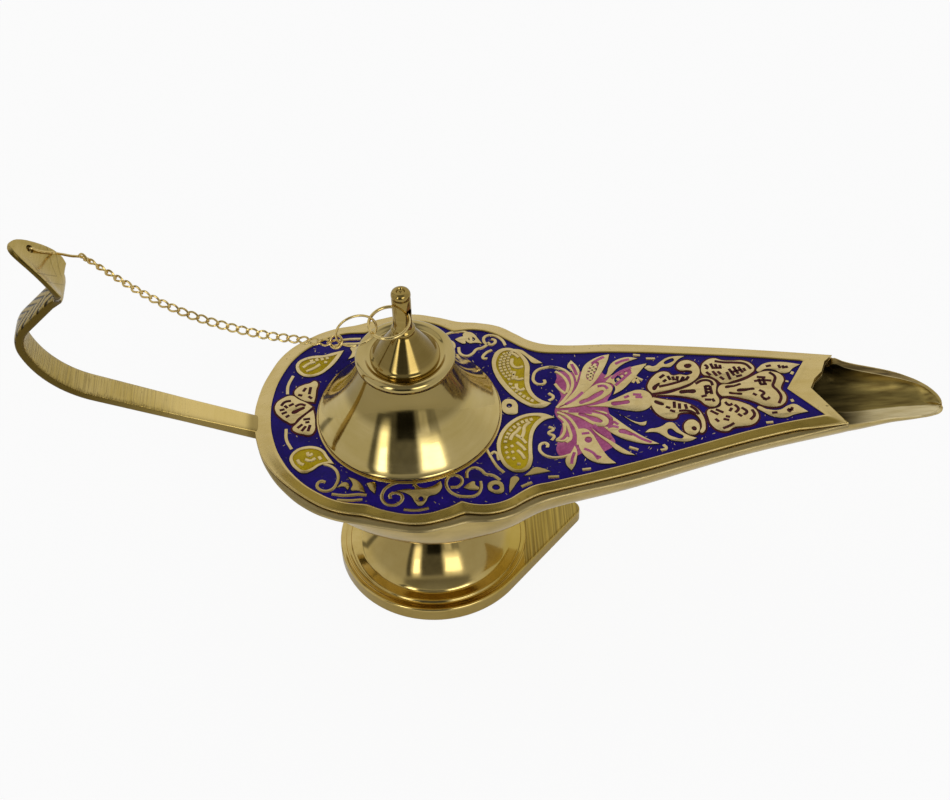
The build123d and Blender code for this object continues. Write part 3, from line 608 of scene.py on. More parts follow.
bowl_front = [(x, y, rim_z) for x, y in (
    (-43.5, 1.0), (-42.1, -9.0), (-39.2, -17.2), (-34.7, -24.4), (-28.9, -30.4), (-22.1, -34.6), (-14.4, -37.0),
    (-7.5, -39.0), (1.6, -40.9), (9.4, -39.7), (14.9, -38.3), (18.2, -38.3), (21.5, -38.3), (27.1, -36.8),
    (32.0, -34.2), (36.0, -32.4), (40.0, -31.3), (60.8, -26.8), (80.8, -21.2), (100.8, -15.9), (123.4, -11.2),
)] + [
    (124.2, -10.9, 56.6), (127.0, -10.3, 56.2), (130.7, -9.4, 55.7), (133.7, -8.6, 55.3), (137.8, -7.6, 54.8),
    (142.2, -6.8, 54.0), (146.5, -5.9, 53.3), (150.4, -4.9, 52.7), (152.7, -3.8, 52.4), (153.6, -2.6, 52.4),
    (153.9, -1.0, 52.7),
]
floor_z, floor_radius, belly_x = 28.0, 12.0, 5.5
keel_line = [(-60.0, 32.0), (5.5, 32.0), (44.0, 41.0), (90.0, 46.0), (124.0, 48.5), (156.0, 50.5)]
chine_line = [(-60.0, 52.0), (5.5, 52.0), (44.0, 51.5), (90.0, 53.0), (124.0, 53.2), (156.0, 51.6)]
back_wall_line = [(118.0, 1.7), (125.0, 2.6), (140.0, 2.6), (145.0, 1.9), (149.5, 1.0), (154.0, 0.8)]
rear_x, spout_x, inset_x, lip_x, tip_x = -43.45, 118, 140, 146, 153.8
wall, floor_skin, spout_thinning, tip_inset, inner_drop = 1.7, 1.9, 0.9, 0.9, 0.1
bowl_stations, corner_steps, floor_steps = 220, 8, 28


def level_at(line, x, column=1):
    """A value between the points of a line, at a station along the lamp."""
    for before, after in zip(line, line[1:]):
        if before[0] <= x <= after[0] and after[0] > before[0]:
            return before[column] + (after[column] - before[column]) * (x - before[0]) / (after[0] - before[0])
    return line[0][column] if x < line[0][0] else line[-1][column]


def hull_level(x, y, half, middle):
    """The hull's underside: a round belly on the foot's axis that runs out into a keeled trough."""
    beyond = max(0.0, math.hypot(x - belly_x, y) - floor_radius)
    belly = floor_z + beyond ** 2 / 36.5 + 0.06 * beyond
    share = min(1.0, abs(y - middle) / (half + 2.0))
    keel, chine = level_at(keel_line, x), level_at(chine_line, x)
    trough = keel + (chine - keel) * (0.35 * share ** 2 + 0.65 * share)
    blend = 3.0
    drawn_out = min(1.0, max(0.0, (x - belly_x + 14) / 26))
    joined = -blend * math.log(math.exp(-belly / blend) + math.exp(-trough / blend))
    return belly + (joined - belly) * drawn_out ** 2 * (3 - 2 * drawn_out)


def bowl_section(x, front, back, front_top, back_top, skin, lip):
    """Half of a section: from the front rim down, across the floor and up to the back rim. At the tip it is a lip."""
    middle, half = (front + back) / 2, max(0.05, (back - front) / 2)
    round_reach = min(3.4, 0.8 * half)
    row = []

    def base_level(y, top):
        base = min(hull_level(x, y, half, middle) + skin, top - 0.8)
        return base + (top - 0.15 - base) * lip

    def corner_point(step, y, top):
        base = base_level(y, top)
        row.append((x, y, base + (top - base) * (1 - math.sin(step * math.pi / 16))))

    corner = [round_reach * (1 - math.cos(step * math.pi / 16)) for step in range(corner_steps + 1)]
    for step, inward in enumerate(corner):
        corner_point(step, front + inward, front_top)
    for step in range(1, floor_steps):
        y = front + round_reach + (back - front - 2 * round_reach) * step / floor_steps
        row.append((x, y, base_level(y, front_top)))
    for step, inward in reversed(list(enumerate(corner))):
        corner_point(step, back - inward, back_top)
    return row


def smooth_edge(line):
    """Dense points along an open rim, as a smooth curve gives them."""
    curve = new_curve("rim")
    smooth_run(curve, line)
    return [tuple(vertex.co) for vertex in curve_mesh(curve).vertices]


back_rim, front_rim = smooth_edge(bowl_back), smooth_edge(bowl_front)
bowl_rings = []
for step in range(bowl_stations):
    x = rear_x + (tip_x - rear_x) * (0.5 - 0.5 * math.cos(math.pi * step / (bowl_stations - 1)))
    front_top, back_top = level_at(front_rim, x, 2), level_at(back_rim, x, 2)
    lip = max(0.0, (x - lip_x) / (tip_x - lip_x)) ** 3
    outside = bowl_section(x, level_at(front_rim, x), level_at(back_rim, x), front_top, back_top, 0.0, lip)
    inner_x = max(x, rear_x + wall)
    inner_front, inner_back = level_at(front_rim, inner_x), level_at(back_rim, inner_x)
    in_spout = min(1.0, max(0.0, (x - spout_x) / 8))
    thickest = 0.3 * (inner_back - inner_front)
    front_wall = min(wall - spout_thinning * in_spout, thickest)
    back_wall = min(level_at(back_wall_line, x), thickest)
    inside = bowl_section(
        inner_x - tip_inset * max(0.0, (x - inset_x) / (tip_x - inset_x)) ** 2,
        inner_front + front_wall, inner_back - back_wall, front_top - inner_drop, back_top - inner_drop,
        floor_skin - spout_thinning * in_spout, lip,
    )
    bowl_rings.append(outside + inside[::-1])
bowl_points, bowl_faces = [], []
join_rings(bowl_rings, bowl_points, bowl_faces)
half_ring = len(outside)
for first in (0, len(bowl_points) - 2 * half_ring):
    last = first + 2 * half_ring - 1
    bowl_faces.extend((first + step, first + step + 1, last - step - 1, last - step) for step in range(half_ring - 1))
bowl_brass = brass_finish(
    "bowl_brass", (0.66, 0.50, 0.19), (0.46, 0.34, 0.11), low=0.10, high=0.26, grain=(160, 420, 420), relief=0.05,
)
bowl_nodes, bowl_sockets, bowl_place, bright_colour, bright_rough = reworked(bowl_brass)
bowl_east, bowl_north = bowl_place.axis("X"), bowl_place.axis("Y")
wall_north = bowl_nodes.node("ShaderNodeNewGeometry", output="Normal").axis("Y")
soot = bowl_place.noise(1.0, 6.0, (90, 700, 700))
inside_mask = bowl_nodes.node("ShaderNodeAttribute", {"attribute_name": "inside"}, output="Fac")
# Painted light and shade inside the spout: dark under the plate as painted shadow over the soot, lighter towards the
# lip, and a painted highlight on the inner front wall, which faces back.
lip_light = bowl_east.fade(0.123, 0.137)
lit_wall = wall_north.fade(-0.22, 0.14) * lip_light
shade_and_soot_tone = soot.fade(0.3, 0.7).blend((0.035, 0.025, 0.008, 1), (0.11, 0.08, 0.025, 1))
lip_lit_tone = soot.fade(0.25, 0.7).blend((0.20, 0.14, 0.04, 1), (0.44, 0.33, 0.10, 1))
lit_wall_tone = soot.fade(0.2, 0.6).blend((0.74, 0.58, 0.24, 1), (0.99, 0.84, 0.48, 1))
inner_colour = lit_wall.blend(lip_light.blend(shade_and_soot_tone, lip_lit_tone), lit_wall_tone)
filed_rim = inside_mask.span(0.10, 0.90, 0.08) * bowl_north.fade(0.0, 0.003) * (1 - bowl_east.fade(0.144, 0.151))
rim_tone = soot.fade(0.35, 0.65).blend((0.09, 0.06, 0.018, 1), (0.27, 0.19, 0.065, 1))
spout_colour = inside_mask.blend(bright_colour, inner_colour)
bowl_nodes.feed(bowl_sockets["Base Color"], filed_rim.blend(spout_colour, rim_tone))
bowl_nodes.feed(bowl_sockets["Metallic"], 1 - inside_mask * lit_wall * 0.85)
bowl_nodes.feed(bowl_sockets["Roughness"], bright_rough + inside_mask * (0.38 + lit_wall * 0.14 - bright_rough))
inside_share = ([0.0] * half_ring + [1.0] * half_ring) * bowl_stations
boat_bowl = made_piece("boat_bowl", bowl_points, bowl_faces, bowl_brass, sharp=60, inside=inside_share)
carried(boat_bowl, "lamp", "cast_brass", "bowl")


# Cover plate: a brass casting soldered onto the bowl. A raised border with a fine inner lip runs round the sunk
# field and ends in a swallow tail at the spout, and a flat ring round the filler hole carries the lid.
plate_top = 60.0
tail_x, tail_y, tail_half, tail_drop = 114, 1.7, 13.0, 0.12
field_edge = [
    (-39.5, 1.0), (-38.4, -8.0), (-35.8, -15.5), (-31.8, -22.0), (-26.5, -27.3), (-20.0, -31.3), (-12.2, -33.0, 1),
    (-7.0, -35.6), (1.5, -37.4), (9.0, -35.8), (13.4, -33.6, 1), (16.5, -34.8), (21.0, -35.2), (26.0, -33.9),
    (30.0, -31.3), (33.5, -29.4), (38.0, -28.5), (60.0, -23.4), (80.0, -17.8), (100.0, -12.3), (117.4, -9.0, 1),
    (108.5, 1.8, 1), (110.1, 4.45, 1), (111.7, 7.1, 1), (113.3, 9.75, 1), (114.9, 12.4, 1), (100.0, 15.0),
    (80.0, 17.7), (60.0, 19.9), (44.0, 20.7), (38.0, 21.7),
    (34.0, 23.8), (30.0, 27.0), (25.5, 30.4), (20.0, 32.2), (14.0, 31.9, 1), (8.5, 35.4), (1.0, 37.2), (-7.0, 35.4),
    (-12.2, 33.2, 1), (-19.5, 33.0), (-26.3, 29.9), (-32.0, 25.2), (-36.2, 18.3), (-38.8, 10.0),
]
plate_edge = [
    (-44.3, 1.0), (-42.8, -9.3), (-39.8, -17.6), (-35.2, -25.0), (-29.4, -31.1), (-22.4, -35.4), (-14.6, -37.8),
    (-7.6, -39.8), (1.6, -41.7), (9.6, -40.5), (15.0, -39.1), (18.2, -39.1), (21.6, -39.1), (27.4, -37.6),
    (32.4, -34.9), (36.3, -33.2), (40.2, -32.1), (61.0, -27.6), (81.0, -22.0), (101.0, -16.7), (124.0, -11.8, 1),
    (115.5, 1.7, 1), (117.2, 5.3, 1), (119.8, 8.0, 1), (121.3, 12.0, 1), (124.0, 15.2, 1), (101.0, 19.1),
    (81.0, 22.0), (60.6, 24.3), (45.6, 25.0), (40.4, 25.9),
    (36.2, 27.7), (32.2, 30.8), (27.6, 34.2), (21.4, 36.2), (15.4, 37.2), (9.6, 39.4), (1.0, 41.4), (-7.8, 40.0),
    (-14.6, 38.0), (-21.9, 36.6), (-29.3, 33.1), (-35.7, 27.8), (-40.2, 20.0), (-43.3, 10.6),
]


def drawn_line(outlines, steps=10, fill="NONE"):
    """A flat curve through closed outlines in millimetres. A point with a third number is a corner."""
    curve = new_curve("drawn_line", "2D")
    curve.resolution_u, curve.fill_mode = steps, fill
    for outline in outlines:
        for point, place in zip(smooth_run(curve, [(*place[:2], 0) for place in outline], True), outline):
            if len(place) > 2:
                point.handle_left_type = point.handle_right_type = "VECTOR"
    return curve


def loop_points(outline):
    """Dense points along one closed outline."""
    return [(vertex.co.x, vertex.co.y) for vertex in curve_mesh(drawn_line([outline])).vertices]


def turned(profile, steps):
    """Rings of points, turned round the lid's upright axis from a profile of radii and heights."""
    return [
        [(r * math.cos(a * math.tau / steps), r * math.sin(a * math.tau / steps), z) for a in range(steps)]
        for r, z in profile
    ]


inner_loop, outer_loop = loop_points(field_edge), loop_points(plate_edge)
border_section = [
    (0.0, 0.0, 0.7), (0.0, 0.0, 0.06), (0.05, 0.0, -0.06), (0.16, 0.0, -0.09), (0.22, 0.0, -0.02), (0.27, 0.0, 0.07),
    (0.33, 0.0, 0.15),
    (0.6, 0.0, 0.62), (0.82, 0.0, 0.93), (0.9, 0.0, 0.99), (0.965, 0.0, 1.0), (0.99, 0.0, 1.07), (1.0, 0.0, 1.2),
    (1.0, 0.0, 1.5),
    (0.985, 0.0, 1.56), (0.90, 0.0, 1.58), (0.90, 0.0, 1.94), (0.985, 0.0, 1.97), (1.0, 0.1, 2.0), (1.0, 0.4, 2.1),
    (1.0, 0.7, 2.26),
    (1.0, 0.9, 2.5), (1.0, 1.0, 2.8), (0.995, 0.98, 2.95), (0.97, 0.9, 3.0), (0.3, 0.0, 3.0),
]
plate_rings = []
for inward, outward, drop in border_section:
    ring = []
    for (ax, ay), (bx, by) in zip(inner_loop, outer_loop):
        faces_front = min(1.0, max(0.0, ((ay - by) / math.hypot(bx - ax, by - ay) - 0.35) / 0.4))
        seam = 1 - 0.40 * faces_front
        share = seam * inward + (1 - seam) * outward
        at_tail = bx > tail_x and abs(by - tail_y) < tail_half
        level_drop = min(drop, tail_drop) if at_tail and inward < 0.98 and drop < 1.1 else drop
        ring.append((ax + (bx - ax) * share, ay + (by - ay) * share, plate_top - level_drop))
    plate_rings.append(ring)
seat_profile = [
    (26.4, 59.3), (26.4, 59.86), (26.3, 59.97), (26.1, 60.0), (25.0, 60.0), (20.2, 60.0), (19.7, 59.93), (19.5, 59.7),
    (19.5, 57.2), (19.7, 57.0), (26.4, 57.0),
]
plate_points, plate_faces = [], []
join_rings(plate_rings, plate_points, plate_faces)
join_rings(turned(seat_profile, steps=128), plate_points, plate_faces, around=True)
plate_brass = brass_finish(
    "plate_brass", (0.75, 0.58, 0.25), (0.60, 0.44, 0.15),
    low=0.20, high=0.36, grain=(120, 420, 420), relief=0.09, stain=0.8,
)
plate_nodes, plate_sockets, plate_place, rubbed, matt = reworked(plate_brass)
plate_up = plate_place.axis("Z")
plate_facing = plate_nodes.node("ShaderNodeNewGeometry", output="Normal")
# Painted shade: border faces that slope up towards the front are darkened, which stands in for the dark ceiling they
# reflect.
front_slope_painted_shade = (-plate_facing.axis("Y")).fade(0.1, 0.32) * plate_facing.axis("Z").fade(0.6, 0.8) * 0.8
seam_dark = plate_up.span(0.05806, 0.05843, 0.00003)
under_seam = 1 - plate_up.fade(0.05800, 0.05806)
front_slope_shaded = front_slope_painted_shade.blend(rubbed, (0.40, 0.27, 0.035, 1))
walled = (under_seam * 0.8).blend(front_slope_shaded, (0.34, 0.27, 0.13, 1))
plate_nodes.feed(plate_sockets["Base Color"], (seam_dark * 0.95).blend(walled, (0.008, 0.006, 0.004, 1)))
plate_nodes.feed(plate_sockets["Roughness"], matt + under_seam * 0.12)
cover_plate = made_piece("cover_plate", plate_points, plate_faces, plate_brass)
carried(cover_plate, "lamp", "satin_brass", "top_plate")


# Blue ground: dark ultramarine enamel, fired into the sunk field round the raised brass and rubbed flat, with fine
# pits and with specks of brass left bare.
ground_foot, ground_top, poured_edge = 59.35, 59.72, 0.02
seat_hole = [point[:2] for point in turned([(26.2, 0.0)], 16)[0]]


def enamel_finish(name, deep, pale):
    """Fired enamel: two tones of one colour in clouds and grains, a slight gloss and fine pits."""
    finish, nodes, sockets = new_finish(name)
    sockets["Specular IOR Level"].default_value = 0.11
    place = nodes.node("ShaderNodeTexCoord", output="Object")
    cloud, grain = place.noise(180.0, 5.0), place.noise(1600.0, 3.0)
    tone = (cloud * 0.6 + grain * 0.4).fade(0.3, 0.7)
    nodes.feed(sockets["Base Color"], tone.blend((*deep, 1), (*pale, 1)))
    nodes.feed(sockets["Roughness"], 0.28 + grain * 0.3)
    nodes.feed(sockets["Normal"], (grain + cloud).bump(0.25, 0.0002))
    return finish


def cut_shapes(name, shapes, finish, top, foot=59.4, grow=0.0, edge=0.09, lift=0.0):
    """Flat shapes with a softened edge, in millimetres. Each shape is an outline, with its holes after it."""
    points, faces = [], []
    for index, shape in enumerate(shapes):
        curve = drawn_line(shape, steps=8, fill="BOTH")
        curve.bevel_depth, curve.bevel_resolution = edge, 1
        curve.extrude = (top - foot) / 2 - edge
        curve.offset = grow - edge
        mesh = curve_mesh(curve)
        first, rise = len(points), (top + foot) / 2 + lift * index
        points.extend((vertex.co.x, vertex.co.y, vertex.co.z + rise) for vertex in mesh.vertices)
        faces.extend(tuple(first + corner for corner in face.vertices) for face in mesh.polygons)
    return made_piece(name, points, faces, finish, sharp=30)


blue_fired = enamel_finish("blue_fired", (0.007, 0.001, 0.11), (0.016, 0.005, 0.19))
blue_ground = cut_shapes(
    "blue_ground", [[field_edge, seat_hole]], blue_fired, top=ground_top, foot=ground_foot, grow=0.1, edge=poured_edge
)
carried(blue_ground, "lamp", "blue_enamel", "blue_enamel")


# Paisleys: two by the neck and two at the rear, raised brass rims filled with mustard enamel. Rows of short brass
# scales are cut inside them.
back_paisley = [
    [(24.6, 17), (25, 20.5), (26.6, 23.2), (29.2, 24.1), (32, 23), (34.2, 20.2), (35.4, 17), (35.2, 12.5), (35, 8.5),
     (35.9, 5), (37.8, 2.6), (40.6, 1.0, 1), (38.5, -0.5), (35.5, -0.3), (32.8, 1.3), (30, 4.2), (27.5, 8),
     (25.5, 12.5)],
    [(25.8, 17), (26.3, 20), (27.6, 22.2), (29.5, 22.9), (31.6, 22), (33.2, 19.7), (34, 17), (33.7, 12.5), (33.6, 8.5),
     (34.5, 5), (36.3, 2.3), (37.6, 1.1, 1), (35.6, 1), (33.5, 2.4), (31.2, 5), (28.8, 8.7), (26.9, 12.8)],
]
front_paisley = [
    [(29.4, -24.4), (26.6, -22.8), (24.8, -19.5), (24.1, -15.5), (24.6, -11.5), (26.3, -7.8), (29, -4.8), (32.2, -3),
     (35.5, -2.5), (38.8, -3.1), (41.2, -4.7, 1), (38.8, -5.2), (36.8, -6.7), (35, -9.5), (34.2, -13), (33.9, -17),
     (33.7, -20.5), (32.2, -23.6)],
    [(29.4, -23.3), (27.3, -21.9), (25.8, -19), (25.2, -15.5), (25.7, -11.8), (27.3, -8.4), (29.8, -5.7), (32.6, -4.1),
     (35.5, -3.6), (37.4, -4.2, 1), (35.4, -6.2), (33.9, -9.2), (33.1, -13), (32.8, -17), (32.5, -20.3),
     (31.3, -22.7)],
]
rear_back_paisley = [
    [(-32.7, 20.8), (-31.6, 17.8), (-29, 16.4), (-26, 16.9), (-23.3, 19), (-20.8, 22.2), (-18.6, 26.6, 1),
     (-21.5, 25.9),
     (-24.5, 25), (-27.5, 24.9), (-30.5, 24), (-32.2, 22.6)],
    [(-31.7, 20.8), (-30.8, 18.5), (-28.9, 17.4), (-26.3, 17.9), (-24, 19.8), (-22, 22.6), (-20.6, 25, 1), (-23, 24.2),
     (-25.5, 23.9), (-28, 23.8), (-30.3, 23), (-31.4, 22)],
]
rear_front_paisley = [
    [(-33.8, -14.6), (-32.4, -12), (-29.8, -10.7), (-26.5, -10.9), (-24.3, -12.4), (-23, -14.8), (-21.3, -17.8, 1),
     (-23.2, -17.4), (-25.5, -18.2), (-27.5, -19.8), (-29.8, -20.6), (-32.2, -18.8), (-33.5, -16.6)],
    [(-32.9, -14.6), (-31.8, -12.7), (-29.6, -11.7), (-26.8, -11.9), (-25, -13), (-23.9, -15), (-23, -16.6, 1),
     (-25.8, -17.4), (-28, -19), (-29.8, -19.5), (-31.6, -18), (-32.6, -16.2)],
]
paisley_shapes = [back_paisley, front_paisley, rear_back_paisley, rear_front_paisley]
relief_brass = brass_finish(
    "relief_brass", (0.80, 0.64, 0.32), (0.60, 0.45, 0.18), low=0.14, high=0.28, grain=500, relief=0.16, stain=0.7,
)
relief_nodes, relief_sockets, relief_place, relief_tone, _ = reworked(relief_brass)
relief_up = relief_nodes.node("ShaderNodeNewGeometry", output="Normal").axis("Z")
# Painted reflection: the flat tops of the raised brass at the front left are darkened, as if they mirrored something
# dark.
front_left = (-relief_place.axis("Y")).fade(0.017, 0.024) * (1 - relief_place.axis("X").fade(0.034, 0.060))
front_relief_painted_shade = front_left * relief_up.fade(0.9, 0.99) * 0.75
relief_nodes.feed(relief_sockets["Base Color"], front_relief_painted_shade.blend(relief_tone, (0.30, 0.21, 0.05, 1)))
mustard_fired = enamel_finish("mustard_fired", (0.40, 0.28, 0.001), (0.58, 0.42, 0.008))
mustard_fill = cut_shapes(
    "mustard_fill", [[shape[1]] for shape in paisley_shapes], mustard_fired, top=59.78, grow=0.35, edge=poured_edge
)
carried(mustard_fill, "lamp", "yellow_enamel", "yellow_enamel")
paisley_rims = cut_shapes("paisley_rims", paisley_shapes, relief_brass, top=59.98)
carried(paisley_rims, "lamp", "satin_brass")


# Lotus: it opens towards the spout, with brass petals left standing and pink enamel between them and in their veins.
# A long bud stands in its middle.
pink_field = [
    (41.4, -1.8), (42.6, 1), (43.6, 3.5), (43, 6.5), (42.4, 9), (43, 11), (43.2, 13.2), (45.4, 13.4), (47.2, 13),
    (50.4, 13),
    (53.4, 13.8), (55.8, 13.2), (56.8, 11.4), (59, 10.8), (59.2, 8), (58, 3.4), (56.8, 1.2), (56.8, -4.2),
    (57.6, -8.2),
    (56.4, -11), (57.2, -15.6), (54.8, -17.8), (52.4, -18.6), (50.5, -17), (47.6, -18.5), (45.5, -19.6), (42.5, -19.8),
    (40.8, -17.8), (41.2, -14), (42.4, -10), (43, -7), (41.6, -4),
]
pink_spots = [
    [[(57, -0.5), (60.4, 1), (63.6, 0), (60.8, -1.6)]], [[(59, -9.8), (62.2, -11.2), (63, -13.4), (60, -13),
     (58, -11.2)]],
    [[(52.4, 13.2), (54.6, 16.6), (56.2, 17), (55.2, 13.4)]], [[(60.4, 11.2), (62.6, 12.8), (65.2, 13), (63, 10.4)]],
]
pink_fired = enamel_finish("pink_fired", (0.36, 0.06, 0.18), (0.59, 0.16, 0.33))
pink_fill = cut_shapes("pink_fill", [[pink_field], *pink_spots], pink_fired, top=59.77, edge=poured_edge)
carried(pink_fill, "lamp", "pink_enamel", "pink_enamel")
lotus_petals = [
    [[(59.1, 19.3, 1), (56.6, 18.8), (53.6, 17.3), (51.4, 15.2), (50.3, 12.6), (49.4, 9.4), (48, 6), (45.5, 2.6),
     (43, -0.4, 1),
      (47, 1.6), (50.6, 4.6), (53.4, 7.9), (55.6, 11.2), (57.2, 14.2), (58.4, 17)],
     [(55.4, 16.4), (53.2, 14.9), (52, 12.4), (51.6, 10), (52.6, 9), (53.9, 11.4), (55.1, 14)]],
    [[(47.7, 17.7, 1), (46.4, 15), (47.4, 13.6), (48.2, 11.5), (48.6, 8.6, 1), (49.3, 11), (49.8, 13), (49.4, 14.8)]],
    [[(67.2, 17, 1), (64.5, 17.7), (61.8, 17.2), (59.7, 15.9), (58.4, 14), (57.6, 11.5), (56.4, 9.4, 1), (58.6, 10.9),
      (60.6, 13.2), (62.8, 15.1), (65.2, 16.3)]],
    [[(69.6, 14.8, 1), (66, 14), (62.6, 12.8), (59.6, 11), (57.6, 9.2), (56.8, 8, 1), (58.6, 7.4), (59.4, 5.6),
     (58.6, 3, 1),
      (61.4, 4.8), (64, 7.6), (66.4, 10.6)],
     [(64.6, 12.6), (61.6, 11.2), (59.6, 9.4), (60, 7.6), (61.6, 8.2), (63.4, 10.4)]],
    [[(42.4, -1.2, 1), (46.6, 1.2), (50, 4), (53, 6.8), (55.4, 7.9), (57.5, 7.5), (58.6, 5.9), (58.1, 4.1),
     (56.6, 2.6), (53.6, 0.7),
      (50, -0.5), (46, -1.1)],
     [(48.6, 0.3), (51.4, 2.4), (54.2, 4.3), (55.9, 4.8), (55.8, 4), (53.2, 1.9), (50.6, 0.6)]],
    [[(44.8, 1.2, 1), (47.4, 4), (48.8, 6.8), (49.8, 9.1), (51.4, 9.7), (52.5, 8.5), (52, 6.4), (50.2, 4.2),
     (47.4, 2)],
     [(47.6, 3.6), (49, 5.6), (50, 7.6), (50.5, 7.3), (49.4, 4.9)]],
    [[(50.4, -1.1, 1), (54, -0.4), (57.5, 0.8), (60.5, 2.3), (63.5, 3.8), (66, 4.4), (68.3, 3.6), (69.5, 1.5),
     (69.4, -0.8),
      (68, -2.9), (65.5, -3.9), (62.5, -3.5), (59.5, -2.6), (56, -1.6)],
     [(57.6, -0.5), (60.4, 0.3), (63, 0), (60.8, -1)]],
    [[(42.4, -2.1, 1), (46, -2.2), (49.5, -2.9), (53, -3.9), (55.5, -5.2), (56.3, -7), (55.4, -8.7), (53.5, -9),
     (51.4, -7.9),
      (48.8, -5.6), (45.6, -3.6)],
     [(48, -3.6), (51, -4.6), (53.8, -6), (54.5, -7.2), (52.6, -7.2), (50, -5.3)]],
    [[(52, -2.6, 1), (55.4, -3.4), (57.6, -5.4), (60.4, -8.6), (63.4, -11.8), (66.6, -14.6), (69.6, -16.7, 1),
     (66, -16.5),
      (62.5, -15.4), (59, -13.6), (56.4, -11.4), (54.6, -9.2, 1), (56.8, -9), (57.6, -7.6), (56.6, -5.2),
      (54.6, -3.8)],
     [(59.4, -10.4), (61.6, -11.4), (62.6, -12.8), (60.4, -12.3), (58.6, -11.2)]],
    [[(50.8, -9, 1), (53, -11.6), (56.2, -14.6), (59.4, -17.8), (62.4, -20.4, 1), (59.6, -19.8), (57.6, -18.4),
     (55.4, -15.4),
      (53, -12.6)]],
    [[(47.2, -9.4, 1), (49.6, -9.6), (51.2, -11.6), (52.4, -14.8), (53.6, -18), (55, -20.8), (56.8, -23, 1),
     (54, -23), (51.4, -22.4),
      (49, -20.6), (47.5, -18), (46.9, -15), (46.9, -12)],
     [(49, -13.2), (50, -12.7), (50.9, -13.6), (50.2, -14.8), (49.2, -14.6)]],
    [[(44.2, -24.7, 1), (43, -22.6), (43, -20.3), (44.4, -18.4), (45.9, -15.6, 1), (46.4, -18), (46, -20.4),
     (45.4, -22.6)]],
]
lotus_relief = cut_shapes("lotus_relief", lotus_petals, relief_brass, top=59.94, lift=0.004)
carried(lotus_relief, "lamp", "satin_brass")


# Tail and rear flowers: flat brass petals edged and veined with dark maroon enamel. The tail's flower fills the
# narrow end of the field, and half of the same flower stands behind the lid.
tail_petals = [
    [[(69.7, 2.8, 1), (68.7, 4.8), (69.2, 7), (70.8, 9.4), (73, 11), (75.2, 10.8), (76.3, 9.4), (78.6, 9.6),
     (80.8, 9.2),
      (82.3, 10.4), (81, 11.1), (78.9, 11.2), (78, 12.4), (78.7, 14.2), (80.6, 15.2), (82.7, 14.7), (84.1, 12.9),
      (84.5, 10.9),
      (83.9, 8.7), (82, 6.6), (79.2, 5.1), (75.6, 3.9), (72, 3.1)],
     [(80.2, 13), (81.2, 13.7), (82.4, 13.2), (81.9, 12.2), (80.7, 12.1)],
     [(70, 4.8), (71.2, 6.2), (72.3, 6.6), (71.6, 5.2), (70.4, 3.9)]],
    [[(69.7, 1.2, 1), (69, -1), (69.4, -3.5), (70.9, -6), (73.3, -7.5), (75.5, -7.2), (76.2, -5.8), (78.5, -5.3),
     (80.7, -6),
      (82, -8), (82.2, -11), (81.6, -13.4), (82.6, -12.9), (83.3, -10.5), (83.1, -7.2), (81.9, -4.3), (79.7, -2.2),
      (76.5, -0.8),
      (73, 0.1)],
     [(70, -0.3), (71.5, -0.7), (72.6, -1.9), (71.2, -1.9)]],
    [[(77.1, -11.4), (77.9, -9), (79.7, -8.2), (81.1, -9.1), (81.6, -11), (80.9, -13), (79.3, -14), (77.7, -13.2)],
     [(79.2, -11.6), (79.9, -10.8), (80.6, -11.4), (80.2, -12.4)]],
    [[(70.4, 2, 1), (74.4, 2.3), (77.5, 3.4), (81, 4.9), (82.8, 6.4), (84.8, 7.6), (87, 7.3), (88.5, 5.6),
     (88.2, 3.2), (87.9, 1.2),
      (88.5, -1), (87.8, -3), (86.2, -3.7), (84.4, -2.8), (83, -1), (80, 0.4), (76, 1.4)],
     [(77.5, 2.5), (80.5, 3.4), (82.3, 3), (82, 2.1), (80, 2.1)]],
    [[(85.4, 9), (85.1, 12), (86.8, 14.6), (89.3, 15.4), (91.5, 14.4), (94.5, 14), (97.7, 13.8), (99.8, 12.2),
     (100.3, 10.2),
      (98.8, 8.4), (96.3, 7), (93.3, 5.9), (90.3, 5.2), (88.9, 6.8), (87.3, 8.2)]],
    [[(84.8, -4.8), (84.5, -8), (85.2, -11), (87, -12.9), (89.3, -13.2), (91, -12), (93.5, -11.7), (96.3, -11.3),
     (98.3, -9.5),
      (98.7, -7), (97.6, -4.8), (95.3, -2.9), (92.3, -1.6), (89.4, -1), (88.5, -3.6), (86.4, -4.5)]],
    [[(89.3, 4.2), (93, 4.8), (97, 6.1), (100, 7.8), (102.5, 9), (105.5, 8.8), (107.6, 7.4), (108.1, 5.5),
     (107.2, 3.5), (106.7, 1.8),
      (107.5, 0), (107.6, -2), (106.3, -4.2), (104, -5), (101, -4.4), (98.2, -2.5), (95, -1), (91.5, 0.1),
      (89.3, 0.4)],
     [(90.8, 3.5), (93.6, 4.3), (95.6, 4.6), (94.6, 3.9), (92.6, 3.4)],
     [(94, 2), (97, 2.7), (99.2, 2.4), (97.6, 1.9), (95.6, 1.6)],
     [(91.6, 1.4), (93.4, 1.2), (95.4, 0.6), (93.6, 0.5)]],
    [[(101, 9.2), (102, 11.2), (104, 12.4), (107.5, 12.6), (111, 12), (113.8, 11.1, 1), (111.5, 9.8), (110, 8.3),
     (108, 8),
      (106, 9.5), (103.5, 10)]],
    [[(98.9, -4.6), (100.5, -6.9), (103, -8.8), (106, -9.3), (109, -8.3), (112.9, -7.5, 1), (111.5, -6),
     (109.5, -4.3), (107.5, -4.8),
      (105, -6.2), (101.6, -5.8)]],
]
